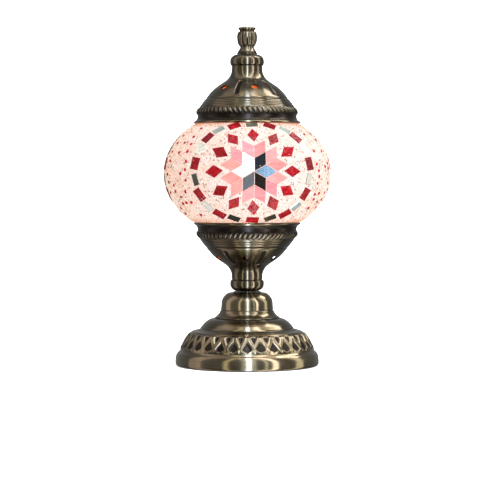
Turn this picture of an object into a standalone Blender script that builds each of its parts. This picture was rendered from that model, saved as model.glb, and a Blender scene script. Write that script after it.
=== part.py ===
"""Mosaic glass table lamp: a flattened glass globe under a bead and tile mosaic,
held between two turned brass stampings on a stem and a weighted round foot.

Sizes are in metres. +Z is up, the lamp stands on z = 0 and its axis is the Z axis.
The front looks along -Y, and azimuths are counted from the front towards +X.
"""

from math import asin
from math import cos
from math import hypot
from math import pi
from math import radians
from math import sin

import bmesh
import bpy
from mathutils import Matrix
from mathutils import Vector

MM = 0.001

# Overall size and smoothness
LAMP_HEIGHT = 279.4 * MM
SEGMENTS = 28
SMALL_SEGMENTS = 16
GAP = 0.3 * MM
ELLIPSE_STEPS = 10

# Globe: an ellipsoid of revolution with a glass wall and a crust of beads and tiles
GLOBE_RADIUS = 69.85 * MM
GLOBE_HALF_HEIGHT = 53.0 * MM
GLOBE_CENTRE = 159.0 * MM
CRUST = 1.85 * MM
CRUST_GAP = 0.5 * MM
GLASS_WALL = 2.4 * MM
GLASS_BOTTOM = 115.6 * MM
GLASS_TOP = 202.4 * MM

# Three flower medallions let into the crust
MEDALLION_AZIMUTHS = (5.0, 127.0, 239.0)
MEDALLION_HEIGHT = 160.5 * MM
MEDALLION_HALF_WIDTH = 50.0 * MM
MEDALLION_HALF_HEIGHT = 37.0 * MM

# Cap and cup, two copies of one stamping
CAP_LIP = 200.0 * MM
CUP_LIP = 118.8 * MM
METAL = 1.1 * MM
STAMPING_END = 57.0 * MM
HOLE_COUNT = 6
HOLE_RADIUS = 3.0 * MM
HOLE_SURFACE = Vector((26.1 * MM, 29.8 * MM))
HOLE_DIRECTION = Vector((0.645, 0.764))
CAP_HOLE_AZIMUTH = 14.0
CUP_HOLE_AZIMUTH = -4.0

# Foot
FOOT_TOP = 39.3 * MM
FOOT_RADIUS = 59.6 * MM
PAD_TOP = 1.6 * MM
BOARD_TOP = 4.9 * MM
WEIGHT_BOTTOM = 11.3 * MM
WEIGHT_TOP = 24.0 * MM
WEIGHT_RADIUS = 45.0 * MM
CORD_HEIGHT = 8.5 * MM
CORD_BORE = 3.5 * MM

# Threaded pipe through foot, bell and cup
PIPE_RADIUS = 5.0 * MM
PIPE_BORE = 3.5 * MM
PIPE_BOTTOM = 5.2 * MM
PIPE_TOP = 91.5 * MM
PIPE_CLEARANCE = PIPE_RADIUS + GAP

# Finial on its threaded stud
STUD_RADIUS = 3.0 * MM
STUD_BOTTOM = 248.0 * MM
STUD_TOP = 267.5 * MM
FINIAL_BOTTOM = 258.5 * MM
STUD_CLEARANCE = STUD_RADIUS + GAP

# Socket and bulb
SOCKET_BOTTOM = 84.4 * MM
SOCKET_TOP = 121.5 * MM
SOCKET_RADIUS = 9.9 * MM
SCREW_RADIUS = 5.95 * MM
BULB_RADIUS = 17.5 * MM
BULB_CENTRE = 146.0 * MM

# Spring clips that centre the globe and the cap
CLIP_COUNT = 3
CLIP_WIRE = 0.7 * MM
CUP_CLIP_AZIMUTH = 180.0
CAP_CLIP_AZIMUTH = 0.0

BRASS = ("antique_brass", (0.13, 0.105, 0.058), 0.34, 1.0)
DARK_BRASS = ("dark_brass", (0.05, 0.042, 0.03), 0.45, 1.0)
BRIGHT_BRASS = ("bright_brass", (0.55, 0.42, 0.17), 0.3, 1.0)
ZINC = ("zinc_plated_steel", (0.42, 0.42, 0.4), 0.35, 1.0)
IRON = ("cast_iron", (0.05, 0.05, 0.055), 0.75, 1.0)
GLASS = ("globe_glass", (0.95, 0.82, 0.72), 0.15, 0.0)
BEADS = ("bead_field", (0.9, 0.74, 0.62), 0.5, 0.0)
TILES = ("mosaic_tiles", (0.6, 0.04, 0.06), 0.2, 0.0)
PHENOLIC = ("black_phenolic", (0.02, 0.018, 0.016), 0.5, 0.0)
CLEAR_GLASS = ("clear_glass", (0.95, 0.95, 0.93), 0.05, 0.0)
TUNGSTEN = ("tungsten", (0.3, 0.28, 0.26), 0.4, 1.0)
FELT = ("black_felt", (0.015, 0.015, 0.017), 0.95, 0.0)
BOARD = ("fibre_board", (0.2, 0.13, 0.07), 0.85, 0.0)
RUBBER = ("black_rubber", (0.02, 0.02, 0.02), 0.7, 0.0)


def clear_scene():
    for old in list(bpy.data.objects):
        bpy.data.objects.remove(old, do_unlink=True)


def new_collection(name):
    collection = bpy.data.collections.new(name)
    bpy.context.scene.collection.children.link(collection)
    return collection


def material(finish):
    name, colour, roughness, metallic = finish
    made = bpy.data.materials.get(name)
    if made:
        return made
    made = bpy.data.materials.new(name)
    made.use_nodes = True
    shader = made.node_tree.nodes["Principled BSDF"]
    shader.inputs["Base Color"].default_value = (*colour, 1.0)
    shader.inputs["Roughness"].default_value = roughness
    shader.inputs["Metallic"].default_value = metallic
    made.diffuse_color = (*colour, 1.0)
    return made


def add_object(name, data, finish):
    piece = bpy.data.objects.new(name, data)
    data.materials.append(material(finish))
    PARTS.objects.link(piece)
    return piece


# ---- outline helpers: every point is (radius, height) in metres ----


def mm_points(points):
    return [(radius * MM, height * MM) for radius, height in points]


def bow(start, end, rise, steps):
    """Points after start, up to end, on an arc whose middle stands rise to the left of its chord."""
    (x0, z0), (x1, z1) = start, end
    chord = hypot(x1 - x0, z1 - z0)
    radius = (chord * chord / 4 + rise * rise) / (2 * abs(rise))
    side = 1 if rise > 0 else -1
    normal = ((z0 - z1) / chord * side, (x1 - x0) / chord * side)
    half = asin(chord / (2 * radius))
    points = []
    for step in range(1, steps + 1):
        turn = half * (2 * step / steps - 1)
        along = chord / 2 + radius * sin(turn)
        out = radius * cos(turn) - (radius - abs(rise))
        points.append(
            (
                x0 + (x1 - x0) / chord * along + normal[0] * out,
                z0 + (z1 - z0) / chord * along + normal[1] * out,
            )
        )
    return points


def ellipse_side(top, bottom, inset, steps):
    """Points from top to bottom on the ellipsoid, evenly spaced in its own angle."""
    half_height = GLOBE_HALF_HEIGHT - inset
    first = asin((top - GLOBE_CENTRE) / half_height)
    last = asin((bottom - GLOBE_CENTRE) / half_height)
    points = []
    for step in range(steps + 1):
        angle = first + (last - first) * step / steps
        points.append(((GLOBE_RADIUS - inset) * cos(angle), GLOBE_CENTRE + half_height * sin(angle)))
    return points


# ---- making pieces ----


def turned(name, outline, finish, closed=False, wall=0.0, segments=SEGMENTS):
    """An outline that runs down its outer side, turned about Z.

    closed joins the last point to the first, as on a ring. A wall thickens an
    open outline inwards. An open outline with no wall has both ends on the axis.
    """
    mesh = bpy.data.meshes.new(name)
    edges = [(i, i + 1) for i in range(len(outline) - 1)]
    if closed:
        edges.append((len(outline) - 1, 0))
    mesh.from_pydata([(radius, 0.0, height) for radius, height in outline], edges, [])
    piece = add_object(name, mesh, finish)
    screw = piece.modifiers.new("Turn", "SCREW")
    screw.axis = "Z"
    screw.steps = segments
    screw.render_steps = segments
    screw.use_merge_vertices = True
    screw.merge_threshold = 0.00001
    screw.use_smooth_shade = True
    if wall:
        shell = piece.modifiers.new("Wall", "SOLIDIFY")
        shell.thickness = wall
        shell.offset = -1.0
        shell.use_even_offset = True
    return piece


def ring(name, inner, outer, bottom, top, finish, segments=SMALL_SEGMENTS):
    outline = [(outer, top), (outer, bottom), (inner, bottom), (inner, top)]
    return turned(name, outline, finish, closed=True, segments=segments)


def disc(name, radius, bottom, top, finish, segments=SMALL_SEGMENTS):
    return turned(name, [(0.0, top), (radius, top), (radius, bottom), (0.0, bottom)], finish, segments=segments)


def facing(azimuth):
    """Unit vector in the XY plane at an azimuth in degrees from the front."""
    return Vector((sin(radians(azimuth)), -cos(radians(azimuth)), 0.0))


def cylinder_cutter(name, places, radius, length, segments=SMALL_SEGMENTS):
    """One cutter of closed cylinders, each centred on a point and lying along a direction."""
    bm = bmesh.new()
    for point, direction in places:
        turn = direction.to_track_quat("Z", "Y").to_matrix().to_4x4()
        bmesh.ops.create_cone(
            bm,
            cap_ends=True,
            segments=segments,
            radius1=radius,
            radius2=radius,
            depth=length,
            matrix=Matrix.Translation(point) @ turn,
        )
    return cutter_from(name, bm)


def cutter_from(name, bm):
    mesh = bpy.data.meshes.new(name)
    bm.to_mesh(mesh)
    bm.free()
    cutter = bpy.data.objects.new(name, mesh)
    CUTTERS.objects.link(cutter)
    cutter.display_type = "WIRE"
    cutter.hide_render = True
    return cutter


def cut(piece, cutter, operation="DIFFERENCE"):
    boolean = piece.modifiers.new("Cut " + cutter.name, "BOOLEAN")
    boolean.operation = operation
    boolean.solver = "EXACT"
    boolean.object = cutter


def hex_nut(name, across_flats, bottom, top, finish, bore_cutter):
    bm = bmesh.new()
    corner = across_flats / 2 / cos(pi / 6)
    bmesh.ops.create_cone(
        bm,
        cap_ends=True,
        segments=6,
        radius1=corner,
        radius2=corner,
        depth=top - bottom,
        matrix=Matrix.Translation((0.0, 0.0, (top + bottom) / 2)),
    )
    mesh = bpy.data.meshes.new(name)
    bm.to_mesh(mesh)
    bm.free()
    nut = add_object(name, mesh, finish)
    cut(nut, bore_cutter)
    return nut


def wire(name, points, radius, finish):
    """A round wire through points, with closed ends."""
    curve = bpy.data.curves.new(name, "CURVE")
    curve.dimensions = "3D"
    curve.bevel_depth = radius
    curve.bevel_resolution = 2
    curve.use_fill_caps = True
    spline = curve.splines.new("POLY")
    spline.points.add(len(points) - 1)
    for point, place in zip(spline.points, points):
        point.co = (*place, 1.0)
    return add_object(name, curve, finish)


def joint_empty(name, height, parent=None):
    empty = bpy.data.objects.new(name, None)
    empty.empty_display_size = 0.01
    empty.location = (0.0, 0.0, height)
    PARTS.objects.link(empty)
    if parent:
        attach([empty], parent)
    return empty


def attach(pieces, parent):
    bpy.context.view_layer.update()
    for piece in pieces:
        piece.parent = parent
        piece.matrix_parent_inverse = parent.matrix_world.inverted()


# ---- the lamp's pieces ----


def stamping_outline(bore):
    """Half section of the cap and the cup, from the lip to the bore in the end plate."""
    lip = mm_points([(44.3, 0.0), (44.3, 1.6), (41.2, 4.4), (41.0, 6.6)])
    rope_band = mm_points([(41.8, 8.4), (41.6, 10.8), (39.7, 13.2)])
    dome = bow(rope_band[-1], (23.6 * MM, 31.4 * MM), -0.9 * MM, 3)
    flare = mm_points([(16.1, 36.4), (13.3, 40.2)])
    neck = mm_points([(12.8, 46.8)])
    bead = mm_points([(14.0, 48.8), (14.0, 53.6), (11.0, 57.0)])
    return lip + rope_band + dome + flare + neck + bead + [(bore, STAMPING_END)]


def stamping_holes(name, azimuth, lip, up):
    """Cutter for the ring of round holes that pierce the dome square to its surface."""
    places = []
    for index in range(HOLE_COUNT):
        out = facing(azimuth + 360.0 / HOLE_COUNT * index)
        point = out * HOLE_SURFACE.x + Vector((0.0, 0.0, lip + up * HOLE_SURFACE.y))
        direction = out * HOLE_DIRECTION.x + Vector((0.0, 0.0, up * HOLE_DIRECTION.y))
        places.append((point, direction))
    return cylinder_cutter(name, places, HOLE_RADIUS, 9 * METAL, 12)


def make_cup():
    outline = [(radius, CUP_LIP - height) for radius, height in stamping_outline(PIPE_CLEARANCE)]
    cup = turned("lower_cup", outline, BRASS, wall=METAL)
    cut(cup, stamping_holes("cup_hole_cutter", CUP_HOLE_AZIMUTH, CUP_LIP, -1))
    return cup


def make_cap():
    outline = [(radius, CAP_LIP + height) for radius, height in reversed(stamping_outline(STUD_CLEARANCE))]
    cap = turned("cap_shell", outline, BRASS, wall=METAL)
    cut(cap, stamping_holes("cap_hole_cutter", CAP_HOLE_AZIMUTH, CAP_LIP, 1))
    return cap


def make_foot():
    top = [(PIPE_CLEARANCE, FOOT_TOP), (29.0 * MM, FOOT_TOP)]
    crown = bow(top[-1], (38.9 * MM, 31.0 * MM), 0.9 * MM, 3)
    ledge = mm_points([(42.2, 29.4), (46.4, 27.7)])
    slope = bow(ledge[-1], (58.4 * MM, 11.2 * MM), 0.7 * MM, 4)
    rim = [(59.1 * MM, 8.8 * MM), (FOOT_RADIUS, 6.0 * MM), (FOOT_RADIUS, 1.3 * MM), (58.6 * MM, 0.4 * MM)]
    foot = turned("base_shell", top + crown + ledge + slope + rim, BRASS, wall=METAL)
    outlet = Vector((0.0, FOOT_RADIUS, CORD_HEIGHT))
    cut(foot, cylinder_cutter("cord_hole_cutter", [(outlet, Vector((0, 1, 0)))], CORD_BORE + 1.4 * MM, 12 * MM))
    return foot


def make_bushing():
    """Flanged rubber sleeve in the foot's rear wall, turned about Z and laid along Y."""
    inner_end = -3.2 * MM
    wall_face = FOOT_RADIUS + GAP
    flange = 2.7 * MM
    flange_thickness = 1.6 * MM
    tube = 1.1 * MM
    outline = [
        (CORD_BORE + flange, wall_face + flange_thickness),
        (CORD_BORE + flange, wall_face),
        (CORD_BORE + tube, wall_face),
        (CORD_BORE + tube, wall_face + inner_end),
        (CORD_BORE, wall_face + inner_end),
        (CORD_BORE, wall_face + flange_thickness),
    ]
    bushing = turned("cord_bushing", outline, RUBBER, closed=True, segments=SMALL_SEGMENTS)
    bushing.rotation_euler = (-pi / 2, 0.0, 0.0)
    bushing.location = (0.0, 0.0, CORD_HEIGHT)
    return bushing


def make_bell():
    shoulder = bow((14.2 * MM, 60.6 * MM), (21.4 * MM, 53.0 * MM), 1.3 * MM, 3)
    cove = bow((21.5 * MM, 46.4 * MM), (26.9 * MM, 40.2 * MM), -0.9 * MM, 2)
    outline = [(PIPE_CLEARANCE, 60.6 * MM), (14.2 * MM, 60.6 * MM)]
    outline += shoulder + [(21.5 * MM, 46.4 * MM)] + cove + [(26.9 * MM, FOOT_TOP + GAP)]
    return turned("stem_bell", outline, BRASS, wall=METAL)


def make_weight():
    """Cast iron disc with a hub that bears under the top of the foot."""
    hub_top = FOOT_TOP - METAL - GAP
    outline = [
        (14.0 * MM, hub_top),
        (16.0 * MM, WEIGHT_TOP),
        (WEIGHT_RADIUS - 3 * MM, WEIGHT_TOP),
        (WEIGHT_RADIUS, WEIGHT_TOP - 3 * MM),
        (WEIGHT_RADIUS, WEIGHT_BOTTOM),
        (PIPE_CLEARANCE, WEIGHT_BOTTOM),
        (PIPE_CLEARANCE, hub_top),
    ]
    return turned("base_weight", outline, IRON, closed=True)


def make_base():
    pipe_bore = cylinder_cutter(
        "pipe_bore_cutter", [(Vector((0, 0, PIPE_TOP / 2)), Vector((0, 0, 1)))], PIPE_CLEARANCE, 1.2 * PIPE_TOP
    )
    cup_floor = CUP_LIP - STAMPING_END + METAL
    nut_bottom = BOARD_TOP + 0.5 * MM
    return [
        disc("felt_pad", FOOT_RADIUS - 3.6 * MM, 0.0, PAD_TOP, FELT, SEGMENTS),
        disc("base_board", FOOT_RADIUS - 3.4 * MM, PAD_TOP + GAP, BOARD_TOP, BOARD, SEGMENTS),
        make_foot(),
        make_bushing(),
        make_weight(),
        hex_nut("lower_nut", 14 * MM, nut_bottom, 9.4 * MM, ZINC, pipe_bore),
        ring("lower_washer", PIPE_CLEARANCE, 12 * MM, 9.7 * MM, WEIGHT_BOTTOM - GAP, ZINC),
        ring("stem_tube", PIPE_BORE, PIPE_RADIUS, PIPE_BOTTOM, PIPE_TOP, ZINC),
        make_bell(),
        ring("neck_ring", PIPE_CLEARANCE, 11.6 * MM, 60.9 * MM, CUP_LIP - STAMPING_END - GAP, DARK_BRASS, SEGMENTS),
        make_cup(),
        ring("cup_washer", PIPE_CLEARANCE, 9 * MM, cup_floor + GAP, cup_floor + 1.5 * MM, ZINC),
        hex_nut("cup_nut", 14 * MM, cup_floor + 1.8 * MM, cup_floor + 6.5 * MM, ZINC, pipe_bore),
        hex_nut("socket_nut", 13 * MM, SOCKET_BOTTOM + 1.3 * MM, SOCKET_BOTTOM + 5.3 * MM, ZINC, pipe_bore),
    ]


def make_socket():
    holder_radius = SOCKET_RADIUS + 1.3 * MM
    holder = [
        (holder_radius, SOCKET_BOTTOM + 11.6 * MM),
        (holder_radius, SOCKET_BOTTOM + 1.6 * MM),
        (holder_radius - 1.6 * MM, SOCKET_BOTTOM),
        (PIPE_CLEARANCE, SOCKET_BOTTOM),
    ]
    floor = 98.5 * MM
    well = SCREW_RADIUS + 1.25 * MM
    wire_hole = 1.8 * MM
    body = [
        (SOCKET_RADIUS, SOCKET_TOP),
        (SOCKET_RADIUS, PIPE_TOP + 0.5 * MM),
        (wire_hole, PIPE_TOP + 0.5 * MM),
        (wire_hole, floor),
        (well, floor),
        (well, SOCKET_TOP),
    ]
    contact = [
        (0.0, floor + 3.1 * MM),
        (1.2 * MM, floor + 3.1 * MM),
        (2.6 * MM, floor + 1.2 * MM),
        (2.6 * MM, floor + GAP),
        (0.0, floor + GAP),
    ]
    shell_radius = well - GAP
    shell = [(shell_radius, SOCKET_TOP - 1 * MM), (shell_radius, floor + 2 * MM)]
    return [
        turned("socket_cap", holder, DARK_BRASS, wall=1.0 * MM, segments=SMALL_SEGMENTS),
        turned("socket_body", body, PHENOLIC, closed=True, segments=SMALL_SEGMENTS),
        turned("socket_contact", contact, BRIGHT_BRASS, segments=12),
        turned("socket_screw_shell", shell, BRIGHT_BRASS, wall=0.4 * MM, segments=SMALL_SEGMENTS),
    ]


def make_clips(prefix, azimuth, lip, up):
    """Spring wires riveted inside a stamping, which press outwards inside the glass rim."""
    route = mm_points([(27.2, 25.4), (29.6, 21.0), (31.0, 14.0), (31.6, 4.0), (31.6, -1.0), (30.2, -3.6), (27.6, -5.4)])
    clips = []
    for index in range(CLIP_COUNT):
        out = facing(azimuth + 360.0 / CLIP_COUNT * index)
        points = [out * radius + Vector((0, 0, lip + up * height)) for radius, height in route]
        clips.append(wire(f"{prefix}_{index + 1}", points, CLIP_WIRE, ZINC))
    return clips


def make_bulb():
    """Round candelabra bulb: glass, mount, filament, screw cap, insulator and contact."""
    cap_top = 120.7 * MM
    neck_bottom = cap_top + GAP
    start = asin(0.55)
    outline = []
    for step in range(9):
        angle = (pi - start) * step / 8
        outline.append((BULB_RADIUS * sin(angle), BULB_CENTRE + BULB_RADIUS * cos(angle)))
    outline.append((SCREW_RADIUS, neck_bottom + 3.5 * MM))
    outline.append((SCREW_RADIUS, neck_bottom))
    screw_cap = [(SCREW_RADIUS, cap_top), (SCREW_RADIUS, 106.5 * MM), (4.4 * MM, 105.0 * MM)]
    insulator = mm_points([(0, 104.6), (4.0, 104.6), (2.6, 103.2), (0, 103.2)])
    mount = mm_points([(0, 137), (1.6, 136.4), (1.3, 125), (3.6, 119), (3.6, 117), (0, 117)])
    top = 137.5 * MM
    half = 7.0 * MM
    coil = [Vector((-0.6 * MM, 0, top)), Vector((-half, 0, top + 8 * MM))]
    for step in range(1, 8):
        side = 1.2 * MM * (1 if step % 2 else -1)
        coil.append(Vector((half * (step / 4 - 1), side, top + 9 * MM)))
    coil += [Vector((half, 0, top + 8 * MM)), Vector((0.9 * MM, 0, top))]
    return [
        turned("bulb_glass", outline, CLEAR_GLASS, wall=0.8 * MM, segments=SMALL_SEGMENTS),
        turned("bulb_stem", mount, CLEAR_GLASS, segments=12),
        wire("bulb_filament", coil, 0.25 * MM, TUNGSTEN),
        turned("bulb_screw_cap", screw_cap, BRIGHT_BRASS, wall=0.4 * MM, segments=SMALL_SEGMENTS),
        turned("bulb_insulator", insulator, PHENOLIC, segments=12),
        disc("bulb_contact", 2.2 * MM, 102.1 * MM, 102.9 * MM, ZINC, 12),
    ]


def medallion_cutter(name, azimuth, inset):
    """Elliptic prism that points outwards through one side of the globe."""
    bm = bmesh.new()
    bmesh.ops.create_cone(bm, cap_ends=True, segments=SEGMENTS, radius1=1.0, radius2=1.0, depth=1.0)
    out = facing(azimuth)
    across = out.cross(Vector((0, 0, 1)))
    length = GLOBE_RADIUS
    columns = (
        across * (MEDALLION_HALF_WIDTH - inset),
        Vector((0, 0, MEDALLION_HALF_HEIGHT - inset)),
        out * -length,
    )
    shape = Matrix(columns).transposed().to_4x4()
    if shape.determinant() < 0:
        shape = shape @ Matrix.Scale(-1, 4, Vector((1, 0, 0)))
    middle = out * (GLOBE_RADIUS * 0.8) + Vector((0, 0, MEDALLION_HEIGHT))
    bm.transform(Matrix.Translation(middle) @ shape)
    return cutter_from(name, bm)


def crust(name, finish):
    """The whole band of crust between the two lips, before windows are cut."""
    top = CAP_LIP - GAP
    bottom = CUP_LIP + GAP
    outer = ellipse_side(top, bottom, 0.0, ELLIPSE_STEPS)
    inner = ellipse_side(top, bottom, CRUST, ELLIPSE_STEPS)
    return turned(name, outer + inner[::-1], finish, closed=True)


def make_glass():
    """The one glass wall, as two nodes that meet in a short upright waist at its widest line."""
    inset = CRUST + CRUST_GAP
    waist = 3.0 * MM
    steps = ELLIPSE_STEPS // 2
    upper = ellipse_side(GLASS_TOP, GLOBE_CENTRE + waist, inset, steps)
    upper.append((upper[-1][0], GLOBE_CENTRE + GAP / 2))
    lower = ellipse_side(GLOBE_CENTRE - waist, GLASS_BOTTOM, inset, steps)
    lower.insert(0, (lower[0][0], GLOBE_CENTRE - GAP / 2))
    return [
        turned("globe_glass_upper", upper, GLASS, wall=GLASS_WALL),
        turned("globe_glass_lower", lower, GLASS, wall=GLASS_WALL),
    ]


def make_globe():
    beads = crust("bead_layer", BEADS)
    pieces = make_glass() + [beads]
    for index, azimuth in enumerate(MEDALLION_AZIMUTHS):
        number = index + 1
        cut(beads, medallion_cutter(f"window_cutter_{number}", azimuth, 0.0))
        tiles = crust(f"medallion_{number}", TILES)
        cut(tiles, medallion_cutter(f"medallion_cutter_{number}", azimuth, GAP), "INTERSECT")
        pieces.append(tiles)
    return pieces


def make_cap_fittings():
    stud_bore = cylinder_cutter(
        "stud_bore_cutter", [(Vector((0, 0, STUD_BOTTOM)), Vector((0, 0, 1)))], STUD_CLEARANCE, 40 * MM
    )
    ceiling = CAP_LIP + STAMPING_END - METAL
    return [
        ring("finial_washer", STUD_CLEARANCE, 9 * MM, ceiling - 1.5 * MM, ceiling - GAP, ZINC),
        hex_nut("finial_nut", 10 * MM, ceiling - 5.6 * MM, ceiling - 1.8 * MM, ZINC, stud_bore),
        ring("finial_collar", STUD_CLEARANCE, 8.6 * MM, CAP_LIP + STAMPING_END + GAP, 258.2 * MM, BRASS),
    ]


def make_finial():
    """Cone, neck, ball and flat crown over a blind hole for the stud."""
    top = LAMP_HEIGHT
    crown = [
        (0.0, top - 0.9 * MM),
        (5.6 * MM, top - 0.5 * MM),
        (6.4 * MM, top),
        (7.2 * MM, top - 0.6 * MM),
        (7.2 * MM, top - 2.0 * MM),
        (6.0 * MM, top - 2.9 * MM),
    ]
    ball = bow(crown[-1], (5.6 * MM, 263.4 * MM), 2.5 * MM, 6)
    foot = [(8.0 * MM, FINIAL_BOTTOM + 0.8 * MM), (8.0 * MM, FINIAL_BOTTOM)]
    blind = STUD_TOP + GAP
    bore = [(STUD_CLEARANCE, FINIAL_BOTTOM), (STUD_CLEARANCE, blind), (0.0, blind)]
    return [
        turned("finial", crown + ball + foot + bore, BRASS, segments=24),
        disc("finial_stud", STUD_RADIUS, STUD_BOTTOM, STUD_TOP, ZINC, 16),
    ]


clear_scene()
PARTS = new_collection("mosaic_table_lamp")
CUTTERS = new_collection("cutters")

base = joint_empty("base", 0.0)
globe_lift = joint_empty("globe_lift", CUP_LIP, base)
cap_lift = joint_empty("cap_lift", CAP_LIP, globe_lift)
finial_turn = joint_empty("finial_turn", FINIAL_BOTTOM, cap_lift)
bulb_turn = joint_empty("bulb_turn", SOCKET_TOP, base)

attach(make_base() + make_socket() + make_clips("cup_clip", CUP_CLIP_AZIMUTH, CUP_LIP, -1), base)
attach(make_globe(), globe_lift)
attach([make_cap()] + make_cap_fittings() + make_clips("cap_clip", CAP_CLIP_AZIMUTH, CAP_LIP, 1), cap_lift)
attach(make_finial(), finial_turn)
attach(make_bulb(), bulb_turn)
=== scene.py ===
from math import asin, ceil, cos, hypot, pi, radians, sin, sqrt, tau
from random import Random

import bmesh
import bpy
from mathutils import Matrix, Vector


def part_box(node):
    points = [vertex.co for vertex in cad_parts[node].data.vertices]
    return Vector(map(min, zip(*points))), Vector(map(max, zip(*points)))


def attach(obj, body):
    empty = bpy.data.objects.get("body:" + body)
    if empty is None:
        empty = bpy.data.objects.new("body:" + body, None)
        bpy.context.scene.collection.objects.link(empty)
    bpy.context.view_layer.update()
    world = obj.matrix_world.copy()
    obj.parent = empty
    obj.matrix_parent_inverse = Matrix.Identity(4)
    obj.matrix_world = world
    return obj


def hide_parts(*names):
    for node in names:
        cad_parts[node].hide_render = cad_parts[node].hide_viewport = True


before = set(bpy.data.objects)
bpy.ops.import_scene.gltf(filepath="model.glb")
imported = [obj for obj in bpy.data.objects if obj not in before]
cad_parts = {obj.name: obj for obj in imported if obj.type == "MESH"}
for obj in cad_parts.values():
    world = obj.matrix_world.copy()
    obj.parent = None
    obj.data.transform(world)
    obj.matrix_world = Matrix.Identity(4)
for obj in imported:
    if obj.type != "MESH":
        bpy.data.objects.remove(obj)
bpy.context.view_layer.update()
mm = 0.001

# places read from the frame
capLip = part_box("cap_shell")[0][2]
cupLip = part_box("lower_cup")[1][2]
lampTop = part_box("finial")[1][2]


def feed(tree, slot, value):
    if isinstance(value, Term):
        value = value.socket
    if isinstance(value, bpy.types.NodeSocket):
        tree.links.new(value, slot)
    elif isinstance(value, (tuple, list)) and len(slot.default_value) == 4 and len(value) == 3:
        slot.default_value = (*value, 1.0)
    else:
        slot.default_value = value


class Term:  # a number in a node tree: arithmetic on it adds Math nodes
    def __init__(self, tree, socket):
        self.tree = tree
        self.socket = socket

    def maths(self, operation, *values):
        return maths(self.tree, operation, self, *values)

    def __add__(self, other):
        return self.maths("ADD", other)

    def __radd__(self, other):
        return self.maths("ADD", other)

    def __sub__(self, other):
        return self.maths("SUBTRACT", other)

    def __rsub__(self, other):
        return maths(self.tree, "SUBTRACT", other, self)

    def __mul__(self, other):
        return self.maths("MULTIPLY", other)

    def __rmul__(self, other):
        return self.maths("MULTIPLY", other)

    def __truediv__(self, other):
        return self.maths("DIVIDE", other)

    def __rtruediv__(self, other):
        return maths(self.tree, "DIVIDE", other, self)

    def __mod__(self, other):
        return self.maths("FLOORED_MODULO", other)

    def __lt__(self, other):
        return self.maths("LESS_THAN", other)

    def __gt__(self, other):
        return self.maths("GREATER_THAN", other)

    def rise(self, low, high):  # 0 below low, 1 above high, smooth between
        node = self.tree.nodes.new("ShaderNodeMapRange")
        node.interpolation_type = "SMOOTHSTEP"
        for slot, value in zip(node.inputs, (self, low, high, 0.0, 1.0)):
            feed(self.tree, slot, value)
        return Term(self.tree, node.outputs[0])

    def bump(self, centre, width):  # 1 at centre, fading to 0 over width
        away = (self - centre).maths("ABSOLUTE")
        return 1 - away.rise(0.0, width)


def maths(tree, operation, *values):
    node = tree.nodes.new("ShaderNodeMath")
    node.operation = operation
    for slot, value in zip(node.inputs, values):
        feed(tree, slot, value)
    return Term(tree, node.outputs[0])


class Nodes:  # one node tree and a short way to add any node to it
    def __init__(self, tree):
        self.tree = tree

    def add(self, kind, settings=None, values=None, out=0):
        node = self.tree.nodes.new(kind)
        for key, value in (settings or {}).items():
            setattr(node, key, value)
        for key, value in (values or {}).items():
            if isinstance(key, int):
                slot = node.inputs[key]
            else:
                slot = next(s for s in node.inputs if s.name == key and s.enabled)
            feed(self.tree, slot, value)
        if isinstance(out, str):
            socket = next(s for s in node.outputs if s.name == out and s.enabled)
        else:
            socket = node.outputs[out]
        return Term(self.tree, socket)

    def mix(self, factor, first, second, blend="MIX"):  # colours
        settings = {"data_type": "RGBA", "blend_type": blend}
        return self.add("ShaderNodeMix", settings, {0: factor, 6: first, 7: second}, 2)

    def split(self, vector):
        node = self.tree.nodes.new("ShaderNodeSeparateXYZ")
        feed(self.tree, node.inputs[0], vector)
        return [Term(self.tree, socket) for socket in node.outputs]

    def vector(self, x=0.0, y=0.0, z=0.0):
        return self.add("ShaderNodeCombineXYZ", None, {"X": x, "Y": y, "Z": z})

    def scaled(self, vector, factor):
        return self.add("ShaderNodeVectorMath", {"operation": "SCALE"}, {"Vector": vector, "Scale": factor})

    def meshOf(self, thing):
        return self.add("GeometryNodeObjectInfo", None, {"Object": thing}, "Geometry")

    def recall(self, name, kind="FLOAT"):
        return self.add("GeometryNodeInputNamedAttribute", {"data_type": kind}, {"Name": name}, "Attribute")

    def store(self, geometry, name, value, domain="POINT"):
        settings = {"data_type": "FLOAT", "domain": domain}
        values = {"Geometry": geometry, "Name": name, "Value": value}
        return self.add("GeometryNodeStoreNamedAttribute", settings, values)


def newTree(name, inputs):
    tree = bpy.data.node_groups.new(name, "GeometryNodeTree")
    for label, kind in inputs.items():
        tree.interface.new_socket(label, in_out="INPUT", socket_type="NodeSocket" + kind)
    tree.interface.new_socket("Geometry", in_out="OUTPUT", socket_type="NodeSocketGeometry")
    entry = tree.nodes.new("NodeGroupInput")
    return Nodes(tree), {label: Term(tree, entry.outputs[label]) for label in inputs}


def closeTree(nodes, geometry, finish, smooth=True):
    geometry = nodes.add("GeometryNodeRealizeInstances", None, {"Geometry": geometry})
    if smooth:
        geometry = nodes.add("GeometryNodeSetShadeSmooth", None, {"Geometry": geometry})
    painted = nodes.add("GeometryNodeSetMaterial", None, {"Geometry": geometry, "Material": finish})
    feed(nodes.tree, nodes.tree.nodes.new("NodeGroupOutput").inputs[0], painted)
    return nodes.tree


def newObject(name, data):
    thing = bpy.data.objects.new(name, data)
    bpy.context.scene.collection.objects.link(thing)
    return thing


def meshObject(name, vertices, edges=(), faces=()):
    mesh = bpy.data.meshes.new(name)
    mesh.from_pydata(vertices, edges, faces)
    return newObject(name, mesh)


def bmeshObject(name, bm):
    mesh = bpy.data.meshes.new(name)
    bm.to_mesh(mesh)
    bm.free()
    return newObject(name, mesh)


def evaluatedMesh(thing):
    graph = bpy.context.evaluated_depsgraph_get()
    graph.update()
    return bpy.data.meshes.new_from_object(thing.evaluated_get(graph))


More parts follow.
